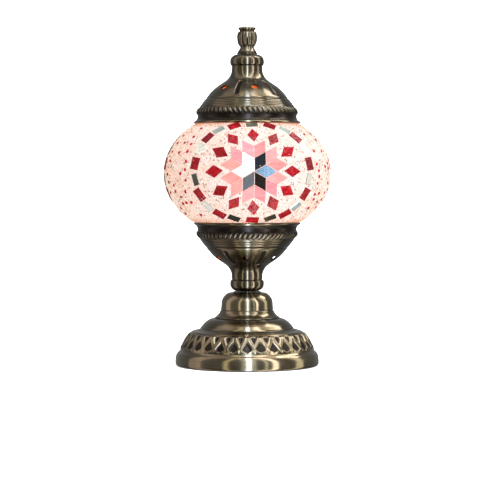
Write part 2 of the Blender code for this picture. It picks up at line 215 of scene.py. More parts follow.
def oneFinish(mesh):  # leaves one material slot, which every face uses
    finish = next(item for item in mesh.materials if item)
    mesh.materials.clear()
    mesh.materials.append(finish)
    mesh.polygons.foreach_set("material_index", [0] * len(mesh.polygons))


def grow(name, tree, values):  # runs a tree once and keeps its result as a plain mesh
    holder = meshObject(name + "Source", [])
    modifier = holder.modifiers.new("Nodes", "NODES")
    modifier.node_group = tree
    for item in tree.interface.items_tree:
        if item.in_out == "INPUT" and item.name in values:
            modifier[item.identifier] = values[item.name]
    mesh = evaluatedMesh(holder)
    bpy.data.objects.remove(holder)
    oneFinish(mesh)
    mesh.name = name
    return newObject(name, mesh)


def settle(piece, body, replaced=()):
    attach(piece, body)
    if replaced:
        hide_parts(*replaced)


def blended(t, a, b, c, d):  # part t of the way from b to c, on a smooth line through all four
    return 0.5 * (2 * b + (c - a) * t + (2 * a - 5 * b + 4 * c - d) * t * t + (3 * b - a - 3 * c + d) * t**3)


# every outline point is (radius, height) in mm and runs upwards on its outer side
def curveThrough(points, step=0.5):  # smooth line through points, none further apart than step
    line = [points[0]]
    for index in range(len(points) - 1):
        start, end = points[index], points[index + 1]
        corners = (points[max(index - 1, 0)], start, end, points[min(index + 2, len(points) - 1)])
        count = max(1, ceil(hypot(end[0] - start[0], end[1] - start[1]) / step))
        for part in range(1, count + 1):
            line.append(tuple(blended(part / count, *values) for values in zip(*corners)))
    return line


def joined(stretches, step=0.5):
    line = []
    for stretch in stretches:
        part = curveThrough(stretch, step)
        line += part if not line else part[1:]
    return line


def walled(outer, wall, spacing=2.4):  # adds an inner side, wall thick, and closes the loop
    picked = [outer[0]]
    for point in outer[1:-1]:
        if hypot(point[0] - picked[-1][0], point[1] - picked[-1][1]) > spacing:
            picked.append(point)
    picked.append(outer[-1])
    inner = []
    for index, point in enumerate(picked):
        before, after = picked[max(index - 1, 0)], picked[min(index + 1, len(picked) - 1)]
        across, up = after[0] - before[0], after[1] - before[1]
        length = hypot(across, up)
        inner.append((point[0] - up / length * wall, point[1] + across / length * wall))
    return outer + inner[::-1] + [outer[0]], len(outer)


def outlineObject(name, points):
    edges = [(i, i + 1) for i in range(len(points) - 1)]
    return meshObject(name, [(r * mm, 0, z * mm) for r, z in points], edges)


def turnedTree(name, relief):
    # an outline turned round the Z axis, its outer side raised along its normal by relief()
    inputs = {"Outline": "Object", "Rows": "Int", "Outer Rows": "Int", "Segments": "Int"}
    nodes, given = newTree(name, {**inputs, "Finish": "Material"})
    values = {"Size X": 1.0, "Size Y": 1.0, "Vertices X": given["Segments"] + 1, "Vertices Y": given["Rows"]}
    grid = nodes.add("GeometryNodeMeshGrid", None, values)
    index = nodes.add("GeometryNodeInputIndex")
    row = index % given["Rows"]
    angle = (index / given["Rows"]).maths("FLOOR") * tau / given["Segments"]
    place = nodes.add("GeometryNodeInputPosition")
    settings = {"data_type": "FLOAT_VECTOR", "domain": "POINT"}
    values = {"Geometry": nodes.meshOf(given["Outline"]), "Value": place, "Index": row}
    radius, _, height = nodes.split(nodes.add("GeometryNodeSampleIndex", settings, values))
    spot = nodes.vector(radius * angle.maths("COSINE"), radius * angle.maths("SINE"), height)
    shape = nodes.add("GeometryNodeSetPosition", None, {"Geometry": grid, "Position": spot})
    shape = nodes.store(shape, "inside", row > given["Outer Rows"] - 0.5)
    shape = nodes.add("GeometryNodeMergeByDistance", None, {"Geometry": shape, "Distance": 0.000002})
    x, y, z = nodes.split(nodes.add("GeometryNodeInputPosition"))
    reach = (x * x + y * y).maths("SQRT")
    outside = 1 - nodes.recall("inside").rise(0.0, 0.5)
    lift, patina = relief(y.maths("ARCTAN2", x), reach / mm, z / mm)
    shape = nodes.store(shape, "patina", patina * outside)
    push = nodes.scaled(nodes.add("GeometryNodeInputNormal"), lift * outside * mm)
    shape = nodes.add("GeometryNodeSetPosition", None, {"Geometry": shape, "Offset": push})
    return closeTree(nodes, shape, given["Finish"])


def turnedPiece(name, points, outerRows, relief, segments, finish):
    outline = outlineObject(name + "Outline", points)
    values = {"Outline": outline, "Rows": len(points), "Outer Rows": outerRows, "Segments": segments}
    values["Finish"] = finish
    piece = grow(name, turnedTree(name + "Tree", relief), values)
    bpy.data.objects.remove(outline)
    return piece


def plain(around, reach, height):
    return height * 0, height * 0


def facing(azimuth):
    return Vector((sin(radians(azimuth)), -cos(radians(azimuth)), 0))


def pierce(piece, places, radius, depth):  # round holes through a shell
    bm = bmesh.new()
    for point, direction in places:
        matrix = Matrix.Translation(point) @ direction.to_track_quat("Z", "Y").to_matrix().to_4x4()
        sizes = {"segments": 40, "radius1": radius, "radius2": radius, "depth": depth}
        bmesh.ops.create_cone(bm, cap_ends=True, matrix=matrix, **sizes)
    drill = bmeshObject("drill", bm)
    boolean = piece.modifiers.new("Holes", "BOOLEAN")
    boolean.object = drill
    boolean.solver = "EXACT"
    cut = evaluatedMesh(piece)
    piece.modifiers.clear()
    oneFinish(cut)
    cut.name = piece.name
    piece.data = cut
    bpy.data.objects.remove(drill)
    shadedHoleEdges(cut, places, radius)


def shadedHoleEdges(mesh, places, radius):  # the cut edge of a hole is flat and dark: painted shade that hides its glint
    inside = mesh.attributes["inside"].data
    patina = mesh.attributes["patina"].data
    for face in mesh.polygons:
        for point, direction in places:
            reach = face.center - point
            across = (reach - direction * reach.dot(direction)).length
            if reach.length < radius * 1.6 and across < radius * 1.01:
                face.use_smooth = False
                # painted shade: the cut wall takes the full dark colour and no copper
                for corner in face.vertices:
                    inside[corner].value = 0.0
                    patina[corner].value = 1.0


def principled(name, constants, paint=None):
    material = bpy.data.materials.new(name)
    material.use_nodes = True
    nodes = Nodes(material.node_tree)
    shader = material.node_tree.nodes["Principled BSDF"]
    for key, value in constants.items():
        feed(nodes.tree, shader.inputs[key], value)
    if paint:
        place = nodes.add("ShaderNodeTexCoord", None, None, "Object")
        for key, value in paint(nodes, place).items():
            feed(nodes.tree, shader.inputs[key], value)
    return material


def stored(nodes, name, out="Fac"):
    return nodes.add("ShaderNodeAttribute", {"attribute_name": name}, None, out)


def noise(nodes, vector, scale, detail=3.0, roughness=0.55):
    values = {"Vector": vector, "Scale": scale, "Detail": detail, "Roughness": roughness}
    return nodes.add("ShaderNodeTexNoise", None, values)


def cells(nodes, vector, scale, feature="F1", out="Distance"):
    return nodes.add("ShaderNodeTexVoronoi", {"feature": feature}, {"Vector": vector, "Scale": scale}, out)


def stretched(nodes, vector, sizes):
    return nodes.add("ShaderNodeMapping", None, {"Vector": vector, "Scale": sizes})


def lathed(nodes, vector, spin, fineness):  # stretched round the axis, as brush lines on turned work
    x, y, z = nodes.split(vector)
    reach = (x * x + y * y).maths("SQRT")
    return nodes.vector(y.maths("ARCTAN2", x) * spin, z * fineness, reach * fineness)


def bumped(nodes, height, strength, distance):
    return nodes.add("ShaderNodeBump", None, {"Strength": strength, "Distance": distance, "Height": height})


def surface(nodes, colour, roughness, height, strength, distance):
    normal = bumped(nodes, height, strength, distance)
    return {"Base Color": colour, "Roughness": roughness, "Normal": normal}


brassColours = {
    "pale": (0.21, 0.176, 0.112),
    "olive": (0.094, 0.081, 0.05),
    "brown": (0.08, 0.05, 0.036),
    "dark": (0.016, 0.013, 0.012),
    "copper": (0.75, 0.24, 0.07),
}


def brassPaint(nodes, place, shade, inner):
    patina = stored(nodes, "patina")
    inside = stored(nodes, "inside")
    cloud = noise(nodes, place, 38.0, 4.0)
    stain = noise(nodes, place, 140.0, 5.0, 0.65)
    brush = noise(nodes, lathed(nodes, place, 0.6, 1500.0), 1.0, 2.0, 0.7)
    base = nodes.mix(cloud.rise(0.35, 0.68), brassColours["olive"], brassColours["pale"])
    base = nodes.mix(stain.rise(0.52, 0.75) * 0.55, base, brassColours["brown"])
    base = nodes.mix(brush.rise(0.3, 0.75) * 0.3, base, brassColours["pale"])
    # shade scales the whole colour down; on the darker copy used for the cap, cup and finial this is painted
    # shade
    base = nodes.mix(1.0, base, (shade, shade * 0.97, shade * 0.95), "MULTIPLY")
    base = nodes.mix(patina.rise(0.12, 0.85) * 0.96, base, brassColours["dark"])
    raw = inside.rise(0.2, 0.6)
    colour = nodes.mix(raw, base, brassColours[inner])
    return {
        "Base Color": colour,
        "Metallic": 1 - raw * 0.7,
        "Roughness": 0.09 + stain * 0.14 + brush * 0.07 + patina * 0.2 + raw * 0.35,
        "Coat Weight": (1 - patina) * 0.4,
        "Normal": bumped(nodes, brush, 0.12, 0.00015),
    }


def groutPaint(nodes, place):
    grain = noise(nodes, place, 900.0, 3.0, 0.6)
    cloud = noise(nodes, place, 45.0, 3.0)
    colour = nodes.mix(grain.rise(0.35, 0.7), (0.24, 0.2, 0.2), (0.4, 0.38, 0.39))
    glow = nodes.mix(cloud.rise(0.3, 0.7), (1.0, 0.52, 0.28), (1.0, 0.66, 0.48))
    return {"Base Color": colour, "Emission Color": glow, "Normal": bumped(nodes, grain, 0.5, 0.0004)}


def beadPaint(nodes, place):
    tone = stored(nodes, "tone")
    cloud = noise(nodes, place, 45.0, 3.0)
    speck = (tone * 7.3 % 1.0).rise(0.86, 0.92)
    rosy = (tone * 13.7 % 1.0).rise(0.8, 0.9)
    colour = nodes.mix(tone.rise(0.2, 0.9), (0.2, 0.165, 0.155), (0.4, 0.38, 0.37))
    colour = nodes.mix(speck * 0.8, colour, (0.06, 0.045, 0.035))
    glow = nodes.mix(cloud.rise(0.3, 0.7), (1.0, 0.54, 0.26), (1.0, 0.7, 0.48))
    glow = nodes.mix(rosy * 0.4, glow, (1.0, 0.36, 0.28))
    glow = nodes.mix(tone * 0.3, glow, (0.5, 0.3, 0.2))
    glow = nodes.mix(speck * 0.75, glow, (0.16, 0.07, 0.04))
    height = nodes.split(place)[2]
    low = 1 - (height - cupLip).rise(0.0005, 0.0055)  # painted shade and warmer painted glow: deeper amber where the field meets cup and cap
    high = (height - capLip).rise(-0.0045, -0.0005)
    rimGlowAndShade = (low + high).maths("MINIMUM", 1.0)
    # painted shade and painted glow near the cup and cap
    colour = nodes.mix(rimGlowAndShade * 0.7, colour, (0.16, 0.06, 0.02))
    glow = nodes.mix(rimGlowAndShade * 0.8, glow, (0.85, 0.24, 0.03))
    return {"Base Color": colour, "Emission Color": glow, "Roughness": 0.12 + tone * 0.2}


def mirrorPaint(nodes, place):
    # tint carries the mirror's glass colour together with a painted reflection, dark or pale
    tint = stored(nodes, "tint", "Color")
    cloud = noise(nodes, place, 90.0, 4.0)
    scuff = noise(nodes, place, 700.0, 3.0, 0.7)
    colour = nodes.mix(cloud.rise(0.35, 0.75), tint, nodes.mix(1.0, tint, (0.6, 0.68, 0.74), "MULTIPLY"))
    return {
        "Base Color": nodes.mix(scuff.rise(0.6, 0.8) * 0.12, colour, (0.5, 0.5, 0.46)),
        "Roughness": 0.05 + scuff * 0.14,
        "Normal": bumped(nodes, cloud, 0.25, 0.0008),
    }


def redPaint(nodes, place):
    tint = stored(nodes, "tint", "Color")
    hammer = cells(nodes, place, 520.0, "SMOOTH_F1")
    cloud = noise(nodes, place, 160.0, 4.0, 0.6)
    bright = cloud.rise(0.5, 0.72)
    colour = nodes.mix(bright * 0.75, tint, (0.4, 0.006, 0.01))
    colour = nodes.mix(hammer.rise(0.35, 0.62) * 0.5, colour, (0.12, 0.0, 0.004))
    glow = nodes.mix(bright, (0.34, 0.0, 0.012), (1.0, 0.05, 0.03))
    return {
        "Base Color": colour,
        "Roughness": 0.08 + cloud * 0.12,
        "Emission Color": glow,
        "Normal": bumped(nodes, hammer + cloud * 0.6, 0.8, 0.0006),
    }


def pinkPaint(nodes, place):
    tint = stored(nodes, "tint", "Color")
    streak = noise(nodes, stretched(nodes, place, (70.0, 70.0, 260.0)), 1.0, 5.0, 0.6)
    colour = nodes.mix(streak.rise(0.4, 0.75) * 0.4, tint, (0.26, 0.15, 0.14))
    glow = nodes.mix(streak.rise(0.35, 0.7), (1.0, 0.24, 0.18), (1.0, 0.37, 0.31))
    return {"Base Color": colour, "Emission Color": glow, "Normal": bumped(nodes, streak, 0.3, 0.0006)}


def glassPaint(nodes, place):
    cloud = noise(nodes, place, 30.0, 3.0)
    colour = nodes.mix(cloud, (0.99, 0.93, 0.86), (0.94, 0.97, 0.96))
    return surface(nodes, colour, 0.03 + cloud * 0.05, cloud, 0.2, 0.001)


def zincPaint(nodes, place):
    flake = nodes.split(cells(nodes, place, 900.0, "F1", "Color"))[0]
    grime = noise(nodes, place, 240.0, 4.0, 0.6)
    lathe = noise(nodes, lathed(nodes, place, 1.0, 1800.0), 1.0)
    colour = nodes.mix(flake * 0.6 + lathe * 0.3, (0.34, 0.34, 0.33), (0.56, 0.56, 0.52))
    dirt = grime.rise(0.5, 0.75) * 0.6 + stored(nodes, "patina") * 0.6
    colour = nodes.mix(dirt, colour, (0.12, 0.1, 0.075))
    return surface(nodes, colour, 0.24 + grime * 0.25, lathe, 0.2, 0.0001)


def brightPaint(nodes, place):
    tarnish = noise(nodes, place, 300.0, 4.0, 0.6)
    colour = nodes.mix(tarnish.rise(0.4, 0.7), (0.72, 0.55, 0.24), (0.5, 0.33, 0.13))
    colour = nodes.mix(stored(nodes, "patina"), colour, (0.2, 0.12, 0.05))
    return surface(nodes, colour, 0.16 + tarnish * 0.2, tarnish, 0.15, 0.0001)


def ironPaint(nodes, place):
    sand = noise(nodes, place, 700.0, 5.0, 0.65)
    rust = noise(nodes, place, 60.0, 5.0, 0.6)
    colour = nodes.mix(sand, (0.018, 0.018, 0.02), (0.06, 0.058, 0.056))
    colour = nodes.mix(rust.rise(0.55, 0.72) * 0.7, colour, (0.13, 0.045, 0.018))
    return surface(nodes, colour, 0.6 + sand * 0.3, sand + rust * 0.4, 0.8, 0.0006)


def phenolicPaint(nodes, place):
    swirl = noise(nodes, place, 120.0, 4.0, 0.6)
    grain = noise(nodes, place, 1400.0, 2.0)
    colour = nodes.mix(swirl.rise(0.4, 0.7), (0.012, 0.009, 0.008), (0.035, 0.02, 0.014))
    colour = nodes.mix(grain.rise(0.66, 0.8) * 0.4, colour, (0.09, 0.07, 0.05))
    return surface(nodes, colour, 0.22 + swirl * 0.2, grain + swirl, 0.15, 0.0002)


def feltPaint(nodes, place):
    tuft = noise(nodes, place, 420.0, 6.0, 0.7)
    matted = noise(nodes, stretched(nodes, place, (900.0, 300.0, 600.0)), 1.0, 4.0, 0.7)
    worn = noise(nodes, place, 25.0, 3.0)
    colour = nodes.mix(tuft * 0.6 + matted * 0.4, (0.008, 0.008, 0.01), (0.05, 0.05, 0.055))
    colour = nodes.mix(worn.rise(0.5, 0.75) * 0.35, colour, (0.085, 0.08, 0.075))
    return surface(nodes, colour, 0.85 + tuft * 0.15, tuft + matted, 1.0, 0.0007)


def boardPaint(nodes, place):
    fibre = noise(nodes, stretched(nodes, place, (260.0, 900.0, 900.0)), 1.0, 5.0, 0.65)
    fleck = cells(nodes, place, 620.0)
    colour = nodes.mix(fibre.rise(0.35, 0.7), (0.16, 0.09, 0.045), (0.33, 0.21, 0.115))
    colour = nodes.mix((1 - fleck.rise(0.05, 0.25)) * 0.5, colour, (0.07, 0.04, 0.02))
    return surface(nodes, colour, 0.7 + fibre * 0.2, fibre, 0.5, 0.0003)


def rubberPaint(nodes, place):
    bloom = noise(nodes, place, 90.0, 4.0, 0.6)
    grain = noise(nodes, place, 1200.0, 3.0)
    colour = nodes.mix(bloom.rise(0.45, 0.75) * 0.6, (0.013, 0.013, 0.014), (0.045, 0.043, 0.042))
    return surface(nodes, colour, 0.5 + grain * 0.25, grain, 0.3, 0.0002)


def filamentPaint(nodes, place):
    heat = noise(nodes, place, 900.0, 3.0)
    glow = nodes.mix(heat, (1.0, 0.5, 0.16), (1.0, 0.72, 0.4))
    return {"Base Color": nodes.mix(heat, (0.1, 0.09, 0.08), (0.3, 0.27, 0.24)), "Emission Color": glow}


def bulbPaint(nodes, place):
    height = nodes.split(place)[2] / mm
    cloud = noise(nodes, place, 70.0, 3.0)
    smoke = 1 - height.rise(122.0, 138.0)
    colour = nodes.mix(smoke * (0.3 + cloud * 0.4), (0.99, 0.99, 0.98), (0.9, 0.82, 0.68))
    return surface(nodes, colour, 0.01 + cloud * 0.03, cloud, 0.1, 0.0006)


def makeFinishes():
    polished = {"Anisotropic": 0.8, "Anisotropic Rotation": 0.25, "Coat Roughness": 0.12}
    clear = {"Transmission Weight": 1.0, "IOR": 1.45}
    dull = {"Specular IOR Level": 0.22}

    def brass(shade, inner="dark"):
        return lambda nodes, place: brassPaint(nodes, place, shade, inner)

    plan = {
        "brass": ("antiqueBrass", brass(1.0), polished),
        # the darker copy below is the same brass at 0.62 of its brightness: painted shade on the cap, cup,
        # finial and collar, with copper inside
        "shadedBrass": ("deepAntiqueBrass", brass(0.62, "copper"), polished),
        "grout": ("warmGrout", groutPaint, {"Roughness": 0.6, "Emission Strength": 0.5}),
        "beads": ("seedBeads", beadPaint, {"Emission Strength": 0.62, "Specular IOR Level": 0.3}),
        "mirror": ("mirrorGlass", mirrorPaint, {"Metallic": 0.8}),
        "redGlass": ("redGlass", redPaint, {"Emission Strength": 0.17, **dull}),
        "pinkGlass": ("pinkGlass", pinkPaint, {"Roughness": 0.3, "Emission Strength": 0.62, **dull}),
        "glass": ("clearGlass", glassPaint, clear),
        "darkBrass": ("blackenedBrass", brass(0.3), polished),
        "brightBrass": ("brightBrass", brightPaint, {"Metallic": 1.0}),
        "zinc": ("zincPlate", zincPaint, {"Metallic": 1.0}),
        "iron": ("castIron", ironPaint, {"Metallic": 0.3}),
        "phenolic": ("blackPhenolic", phenolicPaint, {"Specular IOR Level": 0.6}),
        "felt": ("blackFelt", feltPaint, {"Sheen Weight": 0.4, "Sheen Roughness": 0.6}),
        "board": ("fibreBoard", boardPaint, {}),
        "rubber": ("blackRubber", rubberPaint, {}),
        "filament": ("hotTungsten", filamentPaint, {"Emission Strength": 8.0, "Roughness": 0.4}),
        "bulbGlass": ("bulbGlass", bulbPaint, clear),
    }
    return {key: principled(name, constants, paint) for key, (name, paint, constants) in plan.items()}


finishes = makeFinishes()
print("finishes ready")

stampingSizes = {
    "wall": 1.1,
    "segments": 496,
    "ropeRibs": 62,
    "ropeDepth": 0.75,
    "ropeSlant": 0.42,
    "ringHeights": (15.2, 17.1, 19.0),
    "ringDepth": 0.3,
    "ringWidth": 0.62,
    "grooveHeight": 20.7,
    "neckGroove": 47.6,
    "grooveDepth": 0.28,
    "holes": 6,
    "holeRadius": 3.0,
    "holeAt": (26.1, 29.8),
    "holeSlope": (0.645, 0.764),
    "drillLength": 10.0,
    "fluteWidth": 2.1,
    "fluteLow": 24.9,
    "fluteHigh": 33.3,
    "fluteDepth": 1.0,
    "capFirstHole": 14.0,
    "cupFirstHole": -4.0,
    "capBore": 3.3,
    "cupBore": 5.3,
}


def stampingLine(bore):
    lip = [(43.6, 0.0), (44.25, 0.45), (44.3, 1.2), (43.8, 1.9)]
    groove = [(43.8, 1.9), (42.3, 2.9), (41.2, 4.6), (41.0, 6.8)]
    rope = [(41.0, 6.8), (41.8, 8.2), (41.85, 9.8), (41.1, 11.5), (39.7, 13.2)]
    dome = [(39.7, 13.2), (37.3, 16.5), (34.8, 19.8), (32.3, 23.1), (29.4, 26.5), (26.1, 29.6), (21.1, 33.2)]
    neck = [(21.1, 33.2), (18.4, 35.0), (16.1, 36.9), (14.4, 39.2), (13.2, 42.0), (12.8, 45.0), (12.8, 47.4)]
    bead = [(12.8, 47.4), (13.8, 48.6), (14.1, 51.0), (13.8, 53.4), (12.9, 54.9), (11.4, 56.2), (9.6, 56.9)]
    top = [(9.6, 56.9), (bore, 56.95)]
    return joined([lip, groove, rope, dome, neck, bead, top], 0.55)


def stampingRelief(lip, up, holeAzimuth):
    sizes = stampingSizes

    def relief(around, reach, height):
        h = (height - lip / mm) * up
        window = h.rise(7.6, 8.8) * (1 - h.rise(11.8, 14.0))
        phase = around * sizes["ropeRibs"] / 2 + h * sizes["ropeSlant"]
        rib = phase.maths("SINE").maths("ABSOLUTE")
        rope = window * (rib - 0.55) * sizes["ropeDepth"]
        rings = sum((h.bump(at, sizes["ringWidth"]) for at in sizes["ringHeights"]), h * 0)
        groove = h.bump(sizes["grooveHeight"], 0.6) + h.bump(sizes["neckGroove"], 0.8)
        first = radians(holeAzimuth + 30.0 - 90.0)
        sector = tau / sizes["holes"]
        turned = (around - first + sector / 2) % sector - sector / 2
        across = turned.maths("SINE") * reach
        beyond = (h - (sizes["fluteLow"] + sizes["fluteHigh"]) / 2).maths("ABSOLUTE")
        beyond = (beyond - (sizes["fluteHigh"] - sizes["fluteLow"]) / 2).maths("MAXIMUM", 0.0) * 1.35
        away = (across * across + beyond * beyond).maths("SQRT")
        flute = 1 - away.rise(sizes["fluteWidth"] * 0.7, sizes["fluteWidth"] * 1.12)
        lift = rope + rings * sizes["ringDepth"] - groove * sizes["grooveDepth"] - flute * sizes["fluteDepth"]
        dark = window * (1 - rib.rise(0.3, 0.85)) + groove * 0.7 + flute * 1.4
        dark = dark + h.rise(2.2, 3.4) * (1 - h.rise(8.0, 10.5)) * 0.85
        dark = dark + h.rise(12.4, 14.0) * (1 - h.rise(14.2, 20.0)) * 0.3
        return lift, dark.maths("MINIMUM", 1.0)

    return relief


def stampingHoles(azimuth, lip, up):
    places = []
    for index in range(stampingSizes["holes"]):
        out = facing(azimuth + 360 / stampingSizes["holes"] * index)
        r, h = stampingSizes["holeAt"]
        point = out * r * mm + Vector((0, 0, lip + up * h * mm))
        flat, tall = stampingSizes["holeSlope"]
        places.append((point, (out * flat + Vector((0, 0, up * tall))).normalized()))
    return places


def makeStamping(name, lip, up, holeAzimuth, bore):
    sizes = stampingSizes
    line = [(r, lip / mm + up * h) for r, h in stampingLine(bore)][::up]
    points, outerRows = walled(line, sizes["wall"])
    relief = stampingRelief(lip, up, holeAzimuth)
    piece = turnedPiece(name, points, outerRows, relief, sizes["segments"], finishes["shadedBrass"])
    holes = stampingHoles(holeAzimuth, lip, up)
    pierce(piece, holes, sizes["holeRadius"] * mm, sizes["drillLength"] * mm)
    return piece


capDome = makeStamping("capDome", capLip, 1, stampingSizes["capFirstHole"], stampingSizes["capBore"])
settle(capDome, "cap", ["cap_shell"])
cupBowl = makeStamping("cupBowl", cupLip, -1, stampingSizes["cupFirstHole"], stampingSizes["cupBore"])
settle(cupBowl, "base", ["lower_cup"])
print("cap and cup ready")

footSizes = {
    "wall": 1.1,
    "segments": 480,
    "tongues": 30,
    "bandLow": 14.4,
    "bandHigh": 27.4,
    "tongueDepth": 1.25,
    "bore": 5.3,
    "outletRadius": 4.9,
    "drillLength": 12.0,
}


def footLine():
    rim = [(57.8, 0.35), (59.0, 0.7), (59.55, 1.9), (59.6, 4.0), (59.5, 6.6), (59.0, 8.8), (58.0, 10.6)]
    rim += [(56.9, 11.7)]
    cove = [(56.9, 11.7), (56.2, 12.4), (55.6, 13.5), (55.3, 14.6)]
    band = [(55.3, 14.6), (53.5, 18.0), (51.8, 21.1), (50.0, 24.0), (48.3, 26.3), (46.6, 27.7)]
    ledge = [(46.6, 27.7), (45.6, 28.3), (43.8, 28.9), (41.6, 29.5), (39.6, 30.4)]
    crown = [(39.6, 30.4), (38.6, 31.5), (37.4, 33.0), (35.8, 34.9), (33.8, 36.7), (31.4, 38.2)]
    crown += [(28.6, 39.1), (26.0, 39.3)]
    top = [(26.0, 39.3), (footSizes["bore"], 39.3)]
    return joined([rim, cove, band, ledge, crown], 0.42) + curveThrough(top, 4.0)[1:]


def footRelief(around, reach, height):
    sizes = footSizes
    u = ((around * sizes["tongues"] / tau) % 1.0 - 0.5).maths("ABSOLUTE")
    v = (height - sizes["bandLow"]) / (sizes["bandHigh"] - sizes["bandLow"])
    # wide-bottomed drop between two Y stems, and a small drop in each fork, point down
    belly = v.rise(0.02, 0.22) * (0.36 - v.rise(0.2, 0.82) * 0.4)
    fork = v.rise(0.42, 0.9) * 0.24 - 0.02
    edge = (u - belly).maths("MINIMUM", 0.5 - fork - u)
    line = edge.rise(-0.15, 0.11)
    window = v.rise(-0.05, 0.07) * (1 - v.rise(0.91, 1.0))
    lift = (line - 0.55) * window * sizes["tongueDepth"]
    lift = lift + height.bump(28.4, 0.6) * 0.22 - height.bump(13.4, 0.6) * 0.2 + height.bump(31.0, 0.7) * -0.3
    dark = window * (1 - line.rise(0.1, 0.72)) * 0.85 + window * 0.12
    dark = dark + height.bump(13.6, 0.9) * 0.4 + height.bump(30.9, 1.2) * 0.5
    return lift, dark.maths("MINIMUM", 1.0)


def makeFoot():
    sizes = footSizes
    points, outerRows = walled(footLine(), sizes["wall"])
    foot = turnedPiece("footShell", points, outerRows, footRelief, sizes["segments"], finishes["brass"])
    low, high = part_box("cord_bushing")
    outlet = Vector((0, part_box("base_shell")[1][1], (low[2] + high[2]) / 2))
    pierce(foot, [(outlet, Vector((0, 1, 0)))], sizes["outletRadius"] * mm, sizes["drillLength"] * mm)
    return foot


bellSizes = {"wall": 1.1, "segments": 192, "bore": 5.3, "grooveHeight": 46.2}


def bellRelief(around, reach, height):
    groove = bellSizes["grooveHeight"]
    dark = height.bump(groove, 1.0) * 0.6 + (1 - height.rise(39.6, 41.0)) * 0.7
    return height.bump(groove, 0.7) * -0.3, dark


def makeBell():
    skirt = [(26.9, 39.65), (27.0, 40.1), (26.3, 40.6)]
    cove = [(26.3, 40.6), (24.9, 41.6), (23.4, 43.2), (22.4, 45.0), (22.0, 46.2)]
    body = [(22.0, 46.2), (21.6, 48.0), (21.5, 50.5), (21.4, 52.6), (20.9, 54.6), (19.8, 56.6)]
    body += [(18.3, 58.4), (16.4, 59.9)]
    top = [(16.4, 59.9), (14.6, 60.45), (12.4, 60.6), (bellSizes["bore"], 60.6)]
    points, outerRows = walled(joined([skirt, cove, body, top], 0.5), bellSizes["wall"])
    return turnedPiece("stemBell", points, outerRows, bellRelief, bellSizes["segments"], finishes["brass"])


foot = makeFoot()
settle(foot, "base", ["base_shell"])
bell = makeBell()
settle(bell, "base", ["stem_bell"])
print("foot and bell ready")

finialSizes = {"petals": 12, "petalDepth": 0.75, "low": 263.6, "high": 276.2, "segments": 192}


def finialRelief(around, reach, height):
    sizes = finialSizes
    v = (height - sizes["low"]) / (sizes["high"] - sizes["low"])
    window = v.rise(0.0, 0.14) * (1 - v.rise(0.9, 1.0))
    u = ((around * sizes["petals"] / 2 / tau) % 1.0 - 0.5).maths("ABSOLUTE")
    rib = (around * sizes["petals"] / 2).maths("SINE").maths("ABSOLUTE")
    leaf = (v - 0.5 - u * 0.7).rise(-0.03, 0.05)
    vein = (u - 0.25).maths("ABSOLUTE").rise(0.0, 0.08)
    shape = rib.rise(0.0, 0.7) * (1 - leaf) + leaf * (0.75 + vein * 0.4)
    dark = window * (1 - shape.rise(0.3, 0.9)) + (1 - height.rise(258.7, 259.6)) * 0.8
    return window * (shape - 0.65) * sizes["petalDepth"], dark


def makeFinial():
    top = lampTop / mm
    seat = [(0.0, 258.5), (7.6, 258.5), (8.0, 258.8), (8.0, 259.2)]
    cone = [(8.0, 259.2), (7.2, 260.2), (6.3, 261.6), (5.7, 263.2)]
    ball = [(5.7, 263.2), (6.9, 265.0), (7.9, 267.8), (8.25, 270.7), (8.0, 273.2), (7.1, 275.3), (6.0, 276.5)]
    crown = [(6.0, 276.5), (6.3, 277.0), (7.1, 277.5), (7.3, 278.2), (7.2, top - 0.3), (6.8, top)]
    well = [(6.8, top), (5.8, top - 0.15), (4.8, top - 0.7), (0.0, top - 0.8)]
    line = curveThrough(seat, 1.5) + joined([cone, ball, crown, well], 0.35)[1:]
    segments = finialSizes["segments"]
    return turnedPiece("finialKnob", line, len(line), finialRelief, segments, finishes["shadedBrass"])


finial = makeFinial()
settle(finial, "finial", ["finial"])
print("finial ready")


def threadRelief(pitch, depth, low, high):
    def relief(around, reach, height):
        window = height.rise(low, low + pitch / 2) * (1 - height.rise(high - pitch / 2, high))
        wave = ((height / pitch - around / tau) * tau).maths("SINE")
        return window * (wave - 1) * (depth / 2), window * (0.5 - wave * 0.5) * 0.7

    return relief


def ribbedRelief(count, depth, low, high):
    def relief(around, reach, height):
        window = height.rise(low, low + 0.6) * (1 - height.rise(high - 0.6, high))
        wave = (around * count).maths("SINE")
        return window * (wave - 1) * (depth / 2), window * (0.5 - wave * 0.5) * 0.5

    return relief


def solidOutline(name, node, outline, body, finish, relief=plain, segments=96):
    piece = turnedPiece(name, outline, len(outline), relief, segments, finishes[finish])
    settle(piece, body, [node])
    return piece


fittingSizes = {
    "pipe": 5.0,
    "pipeBore": 3.5,
    "pipeClearance": 5.3,
    "studClearance": 3.3,
    "threadPitch": 1.0,
    "threadDepth": 0.35,
    "socket": 9.9,
    "well": 7.2,
    "wireHole": 1.8,
    "ribs": 36,
    "ribDepth": 0.5,
}


